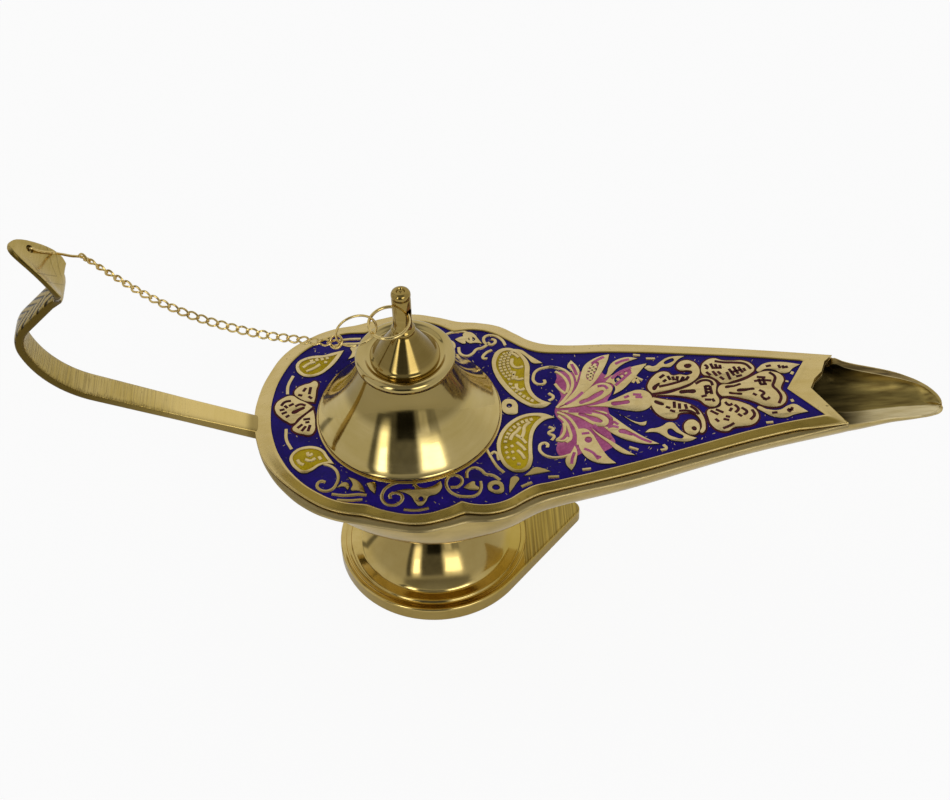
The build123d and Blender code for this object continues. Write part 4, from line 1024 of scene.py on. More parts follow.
rear_petals = [
    [[(-33.6, 9.2), (-36.3, 8.3), (-38.2, 6), (-38.1, 3.2), (-36.7, 1), (-34.8, -0.8), (-33.2, -1.7), (-31.7, 0.2),
     (-29.2, 2.6),
      (-27.6, 4.4, 1), (-29, 5.8), (-31.6, 7.6)],
     [(-33.6, 2.4), (-31.8, 3.9), (-29.8, 4.3), (-31.2, 3), (-32.8, 2)]],
    [[(-27.2, 6.2, 1), (-29.6, 6.8), (-31.6, 8.2), (-32.9, 10), (-32.2, 12), (-30.2, 13.3), (-28.5, 13.8),
     (-27, 14.6), (-26.2, 13.6),
      (-26.6, 11), (-26.8, 8.4)]],
    [[(-27.4, 3.2, 1), (-29.6, 1.2), (-32, -1.8), (-33.2, -3.8), (-32, -5.2), (-30, -6), (-28.2, -6.4), (-27, -5),
     (-26.8, -2),
      (-27, 1)]],
]
maroon_fired = enamel_finish("maroon_fired", (0.030, 0.004, 0.006), (0.10, 0.016, 0.018))
maroon_fill = cut_shapes(
    "maroon_fill", [[shape[0]] for shape in tail_petals[:7] + rear_petals], maroon_fired, top=59.78,
    grow=0.55, edge=poured_edge, lift=0.002,
)
carried(maroon_fill, "lamp", "maroon_enamel", "maroon_enamel")
flower_relief = cut_shapes("flower_relief", tail_petals + rear_petals, relief_brass, top=59.96, lift=0.003)
carried(flower_relief, "lamp", "satin_brass")


# Scrolls and vine: raised brass lines and leaves over the rest of the field, thick in their bends and thin at their
# ends, left standing where the ground was cut away. Some of those in front of the lid stand behind it too.
vine_leaves = [
    [[(26.4, 0.6), (27.1, 3), (29, 3.5), (30.6, 2.3), (30.9, -1.4), (30.7, -2.2), (28.8, -2.6), (26.9, -1.5)],
     [(27.8, 0.9), (28.6, 1.7), (29.4, 0.9), (28.6, 0.1)]],
    [[(31.2, 23.6, 1), (33.6, 22.9), (35.6, 20.8), (39.4, 17.1, 1), (36.6, 17.3), (35.2, 19.4), (33.4, 21.6)]],
    [[(31, -25.7, 1), (32.6, -24.2), (34, -22.9), (36.4, -23.4), (38.4, -24.6, 1), (36, -25), (33.6, -25.4)]],
    [[(16.8, 31), (18.5, 31.6), (20, 30.6), (21, 28.8), (22.2, 26.4, 1), (20.2, 26.9), (18.4, 26.9), (17.1, 29)],
     [(18.3, 29.2), (19.4, 29.4), (20.2, 28.2), (18.6, 28)]],
    [[(66, -12.1, 1), (67.4, -10.9), (69.4, -10.6), (71.2, -9.9), (72.8, -8.8), (74.3, -9), (75.2, -10.6),
     (76.4, -12.6), (78, -14),
      (80.2, -15.2, 1), (78, -16.2), (75, -16.1), (72.8, -15.3), (71, -13.7), (69.4, -12.4)],
     [(72.9, -11.2), (72.3, -12.8), (73.6, -14.2), (76.5, -14.7), (74.9, -12.8)]],
    [[(68.6, 13, 1), (70.2, 11.5), (72.2, 11.6), (73.8, 12.9), (76, 12.8), (77.4, 14), (79, 15.8), (81, 17, 1),
     (78, 17.1), (75.6, 16.6),
      (73.6, 15.2), (71.4, 13.5), (69.8, 13.9)],
     [(74.6, 14.3), (76, 14.4), (77.6, 16), (75.8, 15.8)]],
    [[(60.6, -5.4, 1), (63.4, -7.6), (65.2, -8.2), (67, -7.8, 1), (66.2, -9.4), (64, -8.6)]],
    [[(0.4, -26.4), (2.4, -28), (5.4, -27.8), (8, -26, 1), (8.2, -28.4), (6.6, -30.6), (4.6, -31.2), (3.6, -33.2),
     (2, -34.5), (0.8, -33.2),
      (-0.2, -31), (-1.8, -29.6), (-4, -28.6, 1), (-1, -28.2), (0.8, -28.4)],
     [(1.7, -31.6), (2.6, -31.2), (3.1, -32.2), (2.2, -32.9)]],
    [[(14.2, -28.8, 1), (15.6, -27.4), (17.2, -26.8), (17.4, -28), (18.4, -29.4), (16.4, -29.8)]],
    [[(20.7, -29), (21.7, -27.2), (24.4, -27.4), (25.2, -29.4), (24.6, -31.4), (21.8, -30.9)],
     [(22, -29), (23.4, -28.4), (24, -29.8), (22.6, -30.2)]],
    [[(28, -25.8), (29.5, -26.4), (28.6, -28.4), (26.6, -31.6, 1), (26.8, -28.6)]],
    [[(-17.4, -22.8, 1), (-15.2, -24), (-13.6, -26.2), (-12.9, -28.6, 1), (-15, -27.8), (-16.6, -27.6),
     (-16.2, -25.6)]],
    [[(-12.4, -25.4, 1), (-10.2, -25.2), (-9.9, -27.2), (-10.2, -29.2, 1), (-11.4, -27.8)]],
    [[(-20.6, -26.4, 1), (-18.4, -24.6), (-17.2, -25.8), (-17.6, -27.4, 1), (-18.6, -26.2)]],
]
vine_leaves += [
    [[(x, -y, *corner) for x, y, *corner in outline] for outline in vine_leaves[index]] for index in (7, 8, 11, 12)
]
scroll_lines = [
    (0.7, 1.25, 0.9, [(44.2, 14.3), (42.4, 15.3), (39.8, 15.3), (37.4, 14.2), (36.3, 12), (36.4, 9.8), (37.8, 8.7),
        (39.4, 9.2), (39.3, 10.4)]),
    (0.6, 1.2, 0.9, [(44.6, -18.8), (41.4, -19.6), (38.6, -19.3), (36.6, -17.8), (36, -15.8), (36.9, -14.1),
        (38.3, -14.4), (38.2, -15.8)]),
    (0.5, 1.0, 0.5, [(42, -0.9), (44.8, 2.6), (46.8, 6), (47.4, 9.4), (46.4, 12.8), (44, 14.8), (41, 15.4)]),
    (0.4, 0.8, 0.4, [(45.3, 4.8), (46, 7.4), (45.6, 9.8), (44.4, 12), (42.8, 13.5)]),
    (0.4, 0.8, 0.5, [(45, 4.4), (43.4, 6.4), (42.3, 8.6)]),
    (0.5, 0.9, 0.5, [(42, -2.6), (44.6, -4.4), (46.4, -7.4), (47.2, -11), (46.9, -15.4)]),
    (0.4, 0.8, 0.4, [(42.2, -4), (44, -6.4), (44.9, -9.6), (44.9, -13), (43.6, -14.2)]),
    (0.3, 0.7, 0.4, [(43.6, -6.8), (43.6, -9.4), (42.6, -11.8), (41.2, -13)]),
    (0.4, 0.7, 0.3, [(40.8, -13.2), (43, -13.6), (44.4, -12.4)]),
    (0.5, 1.0, 0.7, [(29, 25.2), (28, 27.8), (25.8, 29.6), (23.4, 29.5), (22.7, 27.8), (23.7, 26.1), (25.4, 26),
        (26.1, 27.4), (25, 28.2)]),
    (0.4, 0.7, 0.4, [(24.9, 23.6), (23, 22.4), (22.2, 20.4), (23.4, 20.2)]),
    (0.5, 0.9, 0.4, [(21, -14.6), (22.4, -18.6), (23.8, -21.8), (25.6, -24.2)]),
    (0.3, 0.6, 0.3, [(22.3, -17), (23.4, -16.4), (24.4, -19.6)]),
    (0.7, 1.2, 0.8, [(-24.3, -17.4), (-21.8, -18.8), (-20.3, -21.5), (-20.6, -24.8), (-22.6, -27.2), (-25.2, -26.8),
        (-26, -25), (-24.9, -23.7), (-23.7, -24.2)]),
    (0.7, 1.1, 0.7, [(-34.9, 9.9), (-34.8, 13.2), (-33.4, 17.2)]),
    (0.7, 1.1, 0.7, [(-35, -3.6), (-34.8, -7.8), (-33.3, -11.4)]),
    (0.5, 1.1, 0.8, [(-2.6, -25.4), (-5.8, -26.4), (-8, -29), (-8, -32), (-5.8, -33.7), (-3.3, -32.8), (-2.7, -30.8),
        (-4.2, -29.4), (-6, -30), (-5.9, -31.4)]),
    (0.6, 1.0, 0.5, [(10.6, -28.4), (12.8, -28.2), (13.9, -26.4), (13, -24.5), (11, -24.2), (9.6, -26), (9.8, -28.8),
        (11.6, -31), (14.6, -32), (17.6, -31.6), (18.9, -29.4), (18.9, -26.8)]),
    (0.5, 1.0, 0.5, [(15.2, -25.4), (15.6, -22.8), (17.4, -21.7), (19.2, -22.6), (20.4, -24.2), (22.4, -24.9),
        (24.4, -26.8)]),
    (0.5, 0.8, 0.4, [(-22, -28.6), (-18.4, -29.3), (-14.4, -29.2), (-12.4, -29.6)]),
    (0.3, 0.6, 0.3, [(-20.6, -30.8), (-17, -31.2), (-13.6, -31.1)]),
    (0.4, 0.7, 0.4, [(-2.4, -35.4), (1, -35.9), (4.4, -35.4)]),
    (0.4, 0.8, 0.3, [(70.6, -17), (71.2, -18.4), (69.6, -19)]),
    (0.3, 0.6, 0.3, [(61, -17.2), (63.4, -18.4)]),
    (0.4, 0.7, 0.4, [(69.6, 16.8), (72.2, 16.6)]),
    (0.4, 0.6, 0.4, [(66, 18.6), (68, 18.2)]),
    (0.4, 0.6, 0.4, [(30, -29.6), (33, -28.2)]),
    (0.4, 0.7, 0.4, [(37.6, -26.6), (40.6, -26.6)]),
    (0.3, 0.6, 0.3, [(47.2, -24.6), (49.6, -24.4)]),
    (0.3, 0.6, 0.3, [(100.4, -10.8), (102.4, -10.7)]),
    (0.3, 0.5, 0.3, [(108.8, 4.4), (109, 5)]),
    (0.3, 0.5, 0.3, [(110.6, 7.4), (111.2, 8.4)]),
    (0.3, 0.5, 0.3, [(109, -2.4), (109.3, -3.4)]),
    (0.3, 0.6, 0.3, [(64.6, 7.4), (66, 9), (67.6, 8.2)]),
    (0.3, 0.5, 0.3, [(65.6, 10.2), (66.4, 7)]),
    (0.3, 0.6, 0.3, [(39.2, -8), (40.4, -9), (39, -10.4), (40.4, -11.6), (39.6, -13.2)]),
    (0.3, 0.6, 0.3, [(40.2, 5), (41.4, 3.4), (40, 2)]),
]
scroll_lines += [(*widths, [(x, -y) for x, y in points]) for *widths, points in scroll_lines[16:22]]

strokes, stroke_size = node_tree("raised_lines", [("Height", "Float"), ("Finish", "Material")])
upright = strokes.node("GeometryNodeSetCurveNormal", {"mode": "Z_UP"}, {"Curve": stroke_size["Pattern"]})
round_bar = strokes.node("GeometryNodeCurvePrimitiveCircle", sockets={"Resolution": 12, "Radius": 0.5})
bar_place = strokes.node("GeometryNodeInputPosition")
bar_side = strokes.maths("MINIMUM", strokes.maths("MAXIMUM", bar_place.axis("Y") * 2.6, -1.0), 1.0)
bar_section = strokes.node(
    "ShaderNodeCombineXYZ", sockets={"X": bar_place.axis("X"), "Y": bar_side * stroke_size["Height"]}
)
flat_bar = strokes.node("GeometryNodeSetPosition", sockets={"Geometry": round_bar, "Position": bar_section})
line_body = strokes.node(
    "GeometryNodeCurveToMesh", sockets={"Curve": upright, "Profile Curve": flat_bar, "Fill Caps": True}
)
close_tree(strokes, line_body, stroke_size["Finish"])


def raised_lines(name, lines, middle_z, height, finish):
    """Strokes in millimetres that swell and thin along their length: width at start, middle and end, then points."""
    curve = new_curve(name)
    curve.resolution_u = 6
    for start, middle, end, points in lines:
        for index, point in enumerate(smooth_run(curve, [(x, y, middle_z) for x, y in points])):
            share = 2 * index / (len(points) - 1)
            point.radius = start + (middle - start) * share if share < 1 else middle + (end - middle) * (share - 1)
            if len(points) == 2:
                point.radius = end if index else middle
    return grown(name, curve, strokes, {"Height": height, "Finish": finish}, 0.001)


vine_relief = cut_shapes("vine_relief", vine_leaves, relief_brass, top=59.93, lift=0.002)
carried(vine_relief, "lamp", "satin_brass")
scroll_relief = raised_lines("scroll_relief", scroll_lines, middle_z=59.72, height=0.22, finish=relief_brass)
carried(scroll_relief, "lamp", "satin_brass")


# Petal veins: short cuts in the flat of the brass petals, filled with maroon or pink enamel and rubbed level with
# the metal.
petal_veins = [
    [(89.3, 14.2), (92, 13.5), (95, 13.2), (98, 12.4), (99.4, 10.3)], [(86.3, 13), (86.9, 11.9), (86.4, 11.2)],
    [(88, 13.3), (88.4, 11.6)],
    [(89.3, 13), (89.6, 11.4)], [(90.6, 12.6), (90.6, 11.3)], [(88, 11.5), (91, 11.4)], [(86.3, 10), (87.4, 8.6)],
    [(88.2, 10.2), (89.2, 8.2)],
    [(89.6, 10), (90.4, 8.8)], [(90, 7.8), (91, 6.6)], [(92.2, 9.6), (92.8, 6.5)], [(93, 10.8), (94.2, 8)],
    [(94.4, 11.6), (95.4, 8.6)],
    [(95.8, 11.4), (96.8, 9)], [(93.4, 9.4), (96.6, 10.2)], [(97.2, 10.8), (97.6, 9.6)], [(94.6, 7.6), (96.4, 8)],
    [(104.4, 8.6), (105.7, 6.8), (105.2, 4.8), (104.6, 3.2), (105.6, 1.2), (106.2, -1.2), (105.2, -3.8)], [(100.5, 7),
     (103, 6.6)],
    [(99.5, 5.4), (102, 5.6), (104.5, 5.2)], [(101, 4), (103, 4)], [(101, 6.2), (101.2, 4)], [(102.2, 6.4),
     (102.4, 4)],
    [(98.4, 0.6), (99.4, -0.2)], [(100.4, 1.8), (101.6, 0.6), (100.8, -0.6), (102, -1.8), (103, -1.2)], [(101, -1.6),
     (102, -2.2)],
    [(97.2, -5.6), (97.6, -7.6), (96.2, -9.4)], [(88, -12.2), (90, -11.3), (91.4, -10.4)], [(85.4, -5.2),
     (87.4, -6.8)], [(87, -4.8), (89, -6.2)],
    [(90, -2.2), (91, -3.4), (92, -3)], [(92.6, -3.4), (93.4, -5), (92.4, -6.4)], [(94.4, -4.6), (95.6, -6.4),
     (94.6, -7.4)],
    [(93, -7), (94, -8)], [(88.6, -8.6), (90.2, -9.2)], [(89.4, -7.6), (90.6, -8)], [(86.4, -8.4), (87.2, -9.6)],
    [(91.6, -4.6), (90.8, -5.8)],
    [(82.6, 5.6), (85, 6.8), (87, 6.2), (87.4, 4.6)], [(85.2, 4.4), (86.6, 4.4)], [(85.2, 3.2), (86.6, 3.2)],
    [(85.2, 2), (86.6, 2)],
    [(85.2, 4.6), (85.2, 1.2)], [(86.6, 4.4), (86.7, 1.2)], [(83.6, 0.4), (85.2, 0.8)], [(84.4, -0.8), (86.2, -1)],
    [(86.6, -0.6), (87, -1.8)],
    [(75, 9.2), (75.6, 7.6)], [(76.4, 8.9), (76.6, 7.4)], [(77.8, 8.9), (77.4, 7.2)], [(79.5, 8.6), (78.6, 7)],
    [(81, 8.6), (80, 7.2)],
    [(72, 5.2), (76, 6.1), (80, 7.5)], [(72.6, 8.6), (74, 9.8)], [(73.4, 7), (74.4, 7.8)],
    [(75.6, -1), (75.4, -3.4)], [(77, -1.8), (76.8, -3.8)], [(78.6, -2.2), (78.8, -4)], [(80, -3), (81.4, -4.6),
     (81.9, -6.4)],
    [(74, -4.2), (75.4, -4.9)], [(76.5, -4.6), (79.5, -4.9), (81.2, -6.2)], [(73, -2.8), (74.2, -3.4)],
    [(103.8, 11), (105.3, 11.3)], [(107.5, 11.3), (107.8, 10)], [(108.6, 11), (108.9, 9.8)], [(109.6, 10.8),
     (109.8, 9.9)],
    [(102.6, -7.3), (104.2, -7.2)], [(107.3, -6), (108.3, -7)], [(108.8, -5.6), (107.4, -7.3)], [(107, -6.6),
     (108.8, -6.4)],
    [(-36.6, 5.4), (-35.6, 6.8), (-33.8, 7.2)], [(-37, 3.6), (-35.6, 4)], [(-36.4, 2.2), (-34.9, 2.9)], [(-34.4, 5.2),
     (-33, 6)], [(-35.6, 5.4), (-34.8, 4.4)],
    [(-35.2, 0.8), (-34.2, 1.6)], [(-32.6, 4.9), (-31, 5.6), (-29.6, 5)], [(-28.6, 9.4), (-28.2, 12.2)],
    [(-30.4, 10.6), (-29.6, 12)],
    [(-27.8, 7.6), (-28.8, 8.6)], [(-31.8, 9.4), (-30.6, 9)], [(-31.8, -3.6), (-30.4, -2.2)], [(-30.6, -4.8),
     (-29.4, -3)],
    [(-28.8, -5), (-28.2, -2.6)], [(-30.2, -0.4), (-28.2, -0.2)], [(-29.6, -1.6), (-28.4, -1.4)],
]
maroon_strokes = [(0.35, 0.62, 0.25, points) for points in petal_veins]
vein_lines = raised_lines("vein_lines", maroon_strokes, middle_z=59.93, height=0.12, finish=maroon_fired)
carried(vein_lines, "lamp", "maroon_enamel")

pink_veins = [
    [(53.6, 15.8), (55.4, 17.2), (57.4, 18.3)], [(58.8, 9.4), (61.4, 11.8), (64.8, 13.4)], [(59.6, 6.6), (62.2, 9.2),
     (64.6, 11.6)],
    [(61.6, 1.6), (63, 2.2)], [(64.2, 2.7), (66.6, 2.4)], [(64.8, 1.6), (66.8, 1.4)], [(56, -4.4), (57.3, -6.4)],
    [(57.6, -7.4), (58.8, -8.6)],
    [(55.8, -9.5), (57.4, -9.2), (58.8, -9.8)], [(60.4, 15.2), (62.4, 16.2), (64.6, 16.8)], [(47.7, 16), (48.3, 14),
     (48.8, 11.6)],
    [(54.4, 6.6), (56.4, 6.6), (57.2, 5.4)], [(51.6, -20), (52.8, -20.6)], [(48.2, -11.4), (50.4, -11.2)],
    [(48.4, -17), (50.6, -18.6), (52, -21.2)],
    [(44.4, -22.4), (44.8, -20.4), (45.6, -18.2)], [(62.4, -12.4), (65, -14.6), (67.4, -16)], [(45.2, -2.6),
     (48.6, -3), (51.8, -3.8)],
    [(44.6, 0.2), (47.4, 2), (50, 4.6)], [(52, -8.2), (53.4, -10.8), (56, -13.6)],
]
pink_strokes = [(0.2, 0.4, 0.15, points) for points in pink_veins]
pink_lines = raised_lines("pink_lines", pink_strokes, middle_z=59.92, height=0.11, finish=pink_fired)
carried(pink_lines, "lamp", "pink_enamel")


# Paisley scales: rows of short brass dashes and curls that stand in the mustard filling, each cut by hand with a
# graver.
dash_rows = []
for row in range(10):
    for column in range(3):
        x, y = 26.5 + 0.09 * (row - 4) ** 2 + 1.15 * column, 21.6 - 1.15 * row + 0.3 * column
        dash_rows.append([(x, y), (x + 0.8, y + 0.2)])
paisley_scales = [(0.4, 0.42, 0.3, points) for points in dash_rows] + [
    (0.4, 0.8, 0.5, [(29.6, 22.2), (31.4, 21.4), (32.6, 20)]),
    (0.5, 1.0, 0.6, [(30.6, 19.6), (30.4, 17.4), (31.6, 15.9), (33.6, 16.2)]),
    (0.5, 1.0, 0.6, [(31, 14.4), (30.6, 12.6), (31.5, 11.2), (33.4, 11.3)]),
    (0.4, 0.8, 0.5, [(31.2, 9.4), (31.2, 7.8), (32.2, 6.8), (33.4, 7.4)]),
    (0.3, 0.9, 0.3, [(28, -12.2), (28.8, -10.4), (30.2, -9), (31.2, -7.4)]),
    (0.3, 0.9, 0.3, [(31.2, -11.8), (32, -9.6), (32.4, -7.4), (34, -5.8)]),
    (0.3, 0.8, 0.3, [(29.8, -10.4), (31.2, -11.8), (32.4, -13.8)]),
    (0.3, 0.7, 0.3, [(29.8, -13.2), (31, -14.6), (32, -16.4)]),
    (0.3, 0.7, 0.3, [(29.8, -16.2), (30.8, -17.6), (31.6, -19.6)]),
    (0.3, 0.7, 0.3, [(-30.6, 20.4), (-29, 21.8), (-27, 22.4)]),
    (0.3, 0.7, 0.3, [(-29.6, 18.8), (-27.6, 19.8), (-25.6, 21.4)]),
    (0.3, 0.5, 0.3, [(-31.6, -15.4), (-31, -16.6), (-29.8, -17.4)]),
    (0.3, 0.5, 0.3, [(-28.8, -12.8), (-28.4, -14), (-27.4, -13.4)]),
    (0.3, 0.5, 0.3, [(-29.4, -15.4), (-28, -16), (-26.6, -15.2)]),
    (0.3, 0.5, 0.3, [(-25.6, -14.6), (-25, -15.8)]),
] + [(0.4, 0.45, 0.3, points) for points in [
    [(29, 9.6), (30, 9.2)], [(29.7, 8), (30.6, 7.6)], [(30.6, 6.4), (31.4, 6.4)], [(31.6, 5), (32.4, 5.6)],
    [(32.6, 3.9), (33.4, 4.6)],
    [(33.8, 2.9), (34.4, 3.7)], [(35, 2), (35.5, 2.9)], [(26.2, -12.6), (27.1, -12.9)], [(26.6, -11), (27.5, -11.4)],
    [(27.2, -9.6), (28.1, -10.2)],
    [(28.1, -8.2), (28.8, -9)], [(29.2, -7), (29.8, -7.9)], [(30.4, -6), (30.9, -7)], [(31.7, -5.2), (32.1, -6.2)],
    [(33, -4.7), (33.3, -5.8)],
    [(34.3, -4.4), (34.6, -5.4)], [(26.4, -14.6), (26.9, -15.3)], [(26.5, -16.5), (27, -17.2)], [(26.8, -18.4),
     (27.3, -19.1)],
    [(28.2, -14.2), (28.6, -15)], [(28.2, -16.4), (28.6, -17.2)], [(28.4, -18.8), (28.8, -19.6)], [(29.4, -21.2),
     (30.4, -21.4)],
    [(-25.2, 24.1), (-24.8, 23)], [(-23.8, 24.5), (-23.3, 23.4)], [(-26.7, 23.8), (-26.3, 22.8)], [(-24.4, 22.2),
     (-23.5, 22)], [(-28.2, 23.4), (-28, 22.6)],
    [(51.7, 10.8), (53.4, 10.4)], [(51.9, 12.1), (53.9, 11.7)], [(52.2, 13.4), (54.5, 13)], [(53, 14.6), (55, 14.3)],
    [(60.4, 9.4), (61, 8.3)], [(61.7, 10.5), (62.3, 9.3)], [(63, 11.5), (63.6, 10.6)],
]] + [(0.3, 0.5, 0.3, [(52.5, 9.3), (53.2, 12.4), (54.6, 15.8)])]
scale_lines = raised_lines("scale_lines", paisley_scales, middle_z=59.84, height=0.10, finish=relief_brass)
carried(scale_lines, "lamp", "satin_brass")


# Dark edges: painted shade in the corner along the foot of the raised brass, together with tarnish and old polish
# that stay there, where rubbing doesn't reach.
shade_and_grime_enamel = enamel_finish("edge_shade_and_grime", (0.004, 0.002, 0.02), (0.012, 0.006, 0.03))
edge_shapes = lotus_petals + vine_leaves + tail_petals[7:] + [[shape[0]] for shape in paisley_shapes]
shade_and_grime_lines = cut_shapes("shade_and_grime_lines", edge_shapes, shade_and_grime_enamel, top=59.74, grow=0.22, edge=poured_edge)
carried(shade_and_grime_lines, "lamp", "blue_enamel")


# Bare specks: grains of the cast ground that the enamel leaves uncovered. They lie scattered over the blue and shine
# like the raised lines.
specks, speck_size = node_tree("bare_specks", [
    ("Density", "Float"), ("Longest", "Float"), ("Seed", "Int"), ("Finish", "Material"),
])
spots = specks.node("GeometryNodeDistributePointsOnFaces", {"distribute_method": "RANDOM"}, {
    "Mesh": speck_size["Pattern"], "Density": speck_size["Density"], "Seed": speck_size["Seed"],
})
speck_length, speck_width, speck_turn = (
    specks.node("FunctionNodeRandomValue", {"data_type": "FLOAT"}, {2: least, 3: most, "Seed": seed}, 1)
    for least, most, seed in (
        (0.12, speck_size["Longest"], speck_size["Seed"]), (0.1, 0.24, 5), (0.0, math.tau, 9),
    )
)
speck = specks.node("GeometryNodeMeshUVSphere", sockets={"Segments": 8, "Rings": 5, "Radius": 0.5})
scattered = specks.node("GeometryNodeInstanceOnPoints", sockets={
    "Points": spots, "Instance": speck,
    "Rotation": specks.node("FunctionNodeAxisAngleToRotation", sockets={"Axis": (0, 0, 1), "Angle": speck_turn}),
    "Scale": specks.node("ShaderNodeCombineXYZ", sockets={"X": speck_length, "Y": speck_width, "Z": 0.08}),
})
close_tree(specks, scattered, speck_size["Finish"])
ground_mesh = curve_mesh(drawn_line([field_edge, seat_hole], steps=4, fill="BOTH"))
ground_mesh.transform(Matrix.Translation((0, 0, ground_top)) @ Matrix.Scale(0.975, 4))
speck_values = {"Density": 0.09, "Longest": 1.1, "Seed": 3, "Finish": relief_brass}
bare_specks = grown("bare_specks", ground_mesh, specks, speck_values, 0.001)
carried(bare_specks, "lamp", "satin_brass")


# Lid: a bell of brass turned and buffed to a mirror, with a rolled collar. It stands loose on the seat and its skirt
# fits in the filler hole.
lid_profile = (
    [(25.6, 60.05), (25.9, 60.1), (26.0, 60.3), (26.0, 60.9), (25.92, 61.2), (25.6, 61.45), (25.1, 61.85)]
    + bow((24.7, 62.2), (17.9, 70.65), (13.1, 81.1), 28)
    + [(13.05, 81.3), (13.2, 81.45), (13.6, 81.75), (13.85, 82.3), (13.92, 82.9), (13.8, 83.5), (13.45, 84.05)]
    + [(12.9, 84.4), (12.3, 84.5), (11.7, 84.4), (11.2, 84.15), (10.8, 83.85), (10.4, 83.7), (9.6, 83.7)]
    + [(2.05, 83.7), (2.05, 80.65), (11.0, 80.65)]
    + bow((11.2, 80.5), (15.9, 70.65), (17.4, 62.25), 10)
    + [(17.4, 55.2), (17.6, 55.05), (19.0, 55.05), (19.2, 55.2), (19.2, 59.9), (19.4, 60.05)]
)
lid_brass = brass_finish(
    "lid_brass", (0.69, 0.54, 0.23), (0.58, 0.44, 0.15), low=0.06, high=0.13, grain=(40, 40, 500), relief=0.03,
)
lid_nodes, lid_sockets, lid_place, buffed, _ = reworked(lid_brass)
lid_up = lid_place.axis("Z")
# Painted shade: the bell is darkened under its rolled collar, and a little on the collar's top round the finial.
under_collar_painted_shade = lid_up.span(0.0715, 0.0822, 0.0016) * 0.75 + lid_up.fade(0.0812, 0.0838) * 0.3
lid_nodes.feed(lid_sockets["Base Color"], under_collar_painted_shade.blend(buffed, (0.26, 0.19, 0.06, 1)))
bell_lid = ringed_piece("bell_lid", turned(lid_profile, steps=192), lid_brass, around=True)
carried(bell_lid, "lid", "polished_brass", "lid")


# Finial: a hollow-sided cone, a bead and a capped stem turned in one piece, held by a nut under the crown. Its stem
# has a cross hole for the ring.
finial_profile = [
    (0.6, 76.5), (1.9, 76.5), (2.0, 76.7), (2.0, 83.75), (9.3, 83.7), (9.6, 83.78), (9.72, 84.0), (9.66, 84.3),
    (9.4, 84.55), (9.05, 84.75),
    (8.8, 85.0), (8.5, 85.4), (7.4, 86.95), (6.3, 88.5), (5.2, 90.05), (4.1, 91.6), (3.5, 92.4), (3.15, 92.75),
    (3.12, 92.9), (3.3, 93.05), (3.4, 93.4),
    (3.36, 93.9), (3.15, 94.3), (2.85, 94.5), (2.72, 94.7), (2.66, 95.2), (2.62, 97.0), (2.62, 104.9), (2.56, 105.1),
    (2.48, 105.25),
    (2.48, 105.5), (2.56, 105.65), (2.66, 105.8), (2.7, 106.3), (2.66, 106.8), (2.45, 107.3), (2.05, 107.65),
    (1.6, 107.8), (1.25, 107.8),
    (1.1, 107.65), (0.95, 107.35), (0.6, 107.25), (0.3, 107.35), (0.1, 107.45),
]
ring_turn, cross_hole_z, cross_hole_radius = math.radians(-41), 101.05, 1.2


def drilled(piece, center, along, radius):
    """Cuts a round hole through a piece."""
    across = Vector(along).to_track_quat("Z", "Y")
    ends = [
        [tuple(Vector(center) + across @ Vector(point)) for point in ring]
        for ring in turned([(radius, -6), (radius, 6)], 32)
    ]
    drill = ringed_piece("drill", ends, piece.data.materials[0])
    cut = piece.modifiers.new("hole", "BOOLEAN")
    cut.object, cut.solver = drill, "EXACT"
    mesh = plain_mesh(piece)
    mesh.shade_smooth()
    mesh.set_sharp_from_angle(angle=math.radians(40))
    piece.modifiers.remove(cut)
    piece.data = mesh
    bpy.data.objects.remove(drill)


# Painted shade: the finial's brass has darker tones than the lid's, and its cone is darker still, which stands in for
# the dark surroundings it mirrors.
finial_brass = brass_finish(
    "finial_brass", (0.46, 0.335, 0.11), (0.34, 0.235, 0.062), low=0.05, high=0.13, grain=(40, 40, 900), relief=0.02,
)
finial_nodes, finial_sockets, finial_place, turned_tone, _ = reworked(finial_brass)
cone_painted_shade = finial_place.axis("Z").span(0.0850, 0.0925, 0.0006) * 0.5
finial_nodes.feed(finial_sockets["Base Color"], cone_painted_shade.blend(turned_tone, (0.16, 0.11, 0.032, 1)))
turned_finial = ringed_piece("turned_finial", turned(finial_profile, steps=96), finial_brass)
drilled(turned_finial, (0, 0, cross_hole_z), (math.cos(ring_turn), math.sin(ring_turn), 0), cross_hole_radius)
carried(turned_finial, "lid", "polished_brass", "finial")


# Handle: a cast and filed brass strap that rises behind the bowl, bends over and ends in a cobra's cupped hood. It is
# brazed to the plate's rear edge, and its hood is drilled for the chain's hook.
strap_rise, root_sunk = math.radians(24.7), 2.5
strap_angle = math.pi - strap_rise
strap_runs = [
    (root_sunk, 0.0), (46.0, 0.0), (math.radians(50.3) * 28.0, 28.0), (math.radians(59.6) * 9.0, 9.0), (12.4, 0.0),
]
strap_x, strap_z = -44.93 + root_sunk * math.cos(strap_rise), 57.94 - root_sunk * math.sin(strap_rise)
strap_stations, travelled = [], 0.0
for length, radius in strap_runs:
    steps = max(2, round(length / 0.9))
    for step in range(steps):
        half_width = 3.35 + 0.8 * min(1.0, travelled / 48)
        half_thick = 1.45 + 0.45 * max(0.0, 1 - travelled / 22)
        strap_stations.append((strap_x, strap_z, strap_angle, half_width, half_thick, 0.0))
        stride = length / steps
        turning = stride / radius if radius else 0.0
        strap_x += stride * math.cos(strap_angle - turning / 2)
        strap_z += stride * math.sin(strap_angle - turning / 2)
        strap_angle -= turning
        travelled += stride
hood_bend = math.radians(78)
hood_lean = strap_angle + hood_bend
hood_foot = Vector((-89.387, 0, 114.537))
hood_along = Vector((math.cos(hood_lean), 0, math.sin(hood_lean)))
hood_out = Vector((math.sin(hood_lean), 0, -math.cos(hood_lean)))
bend_x, bend_z, bend_radius = -90.5, 114.75, 1.45
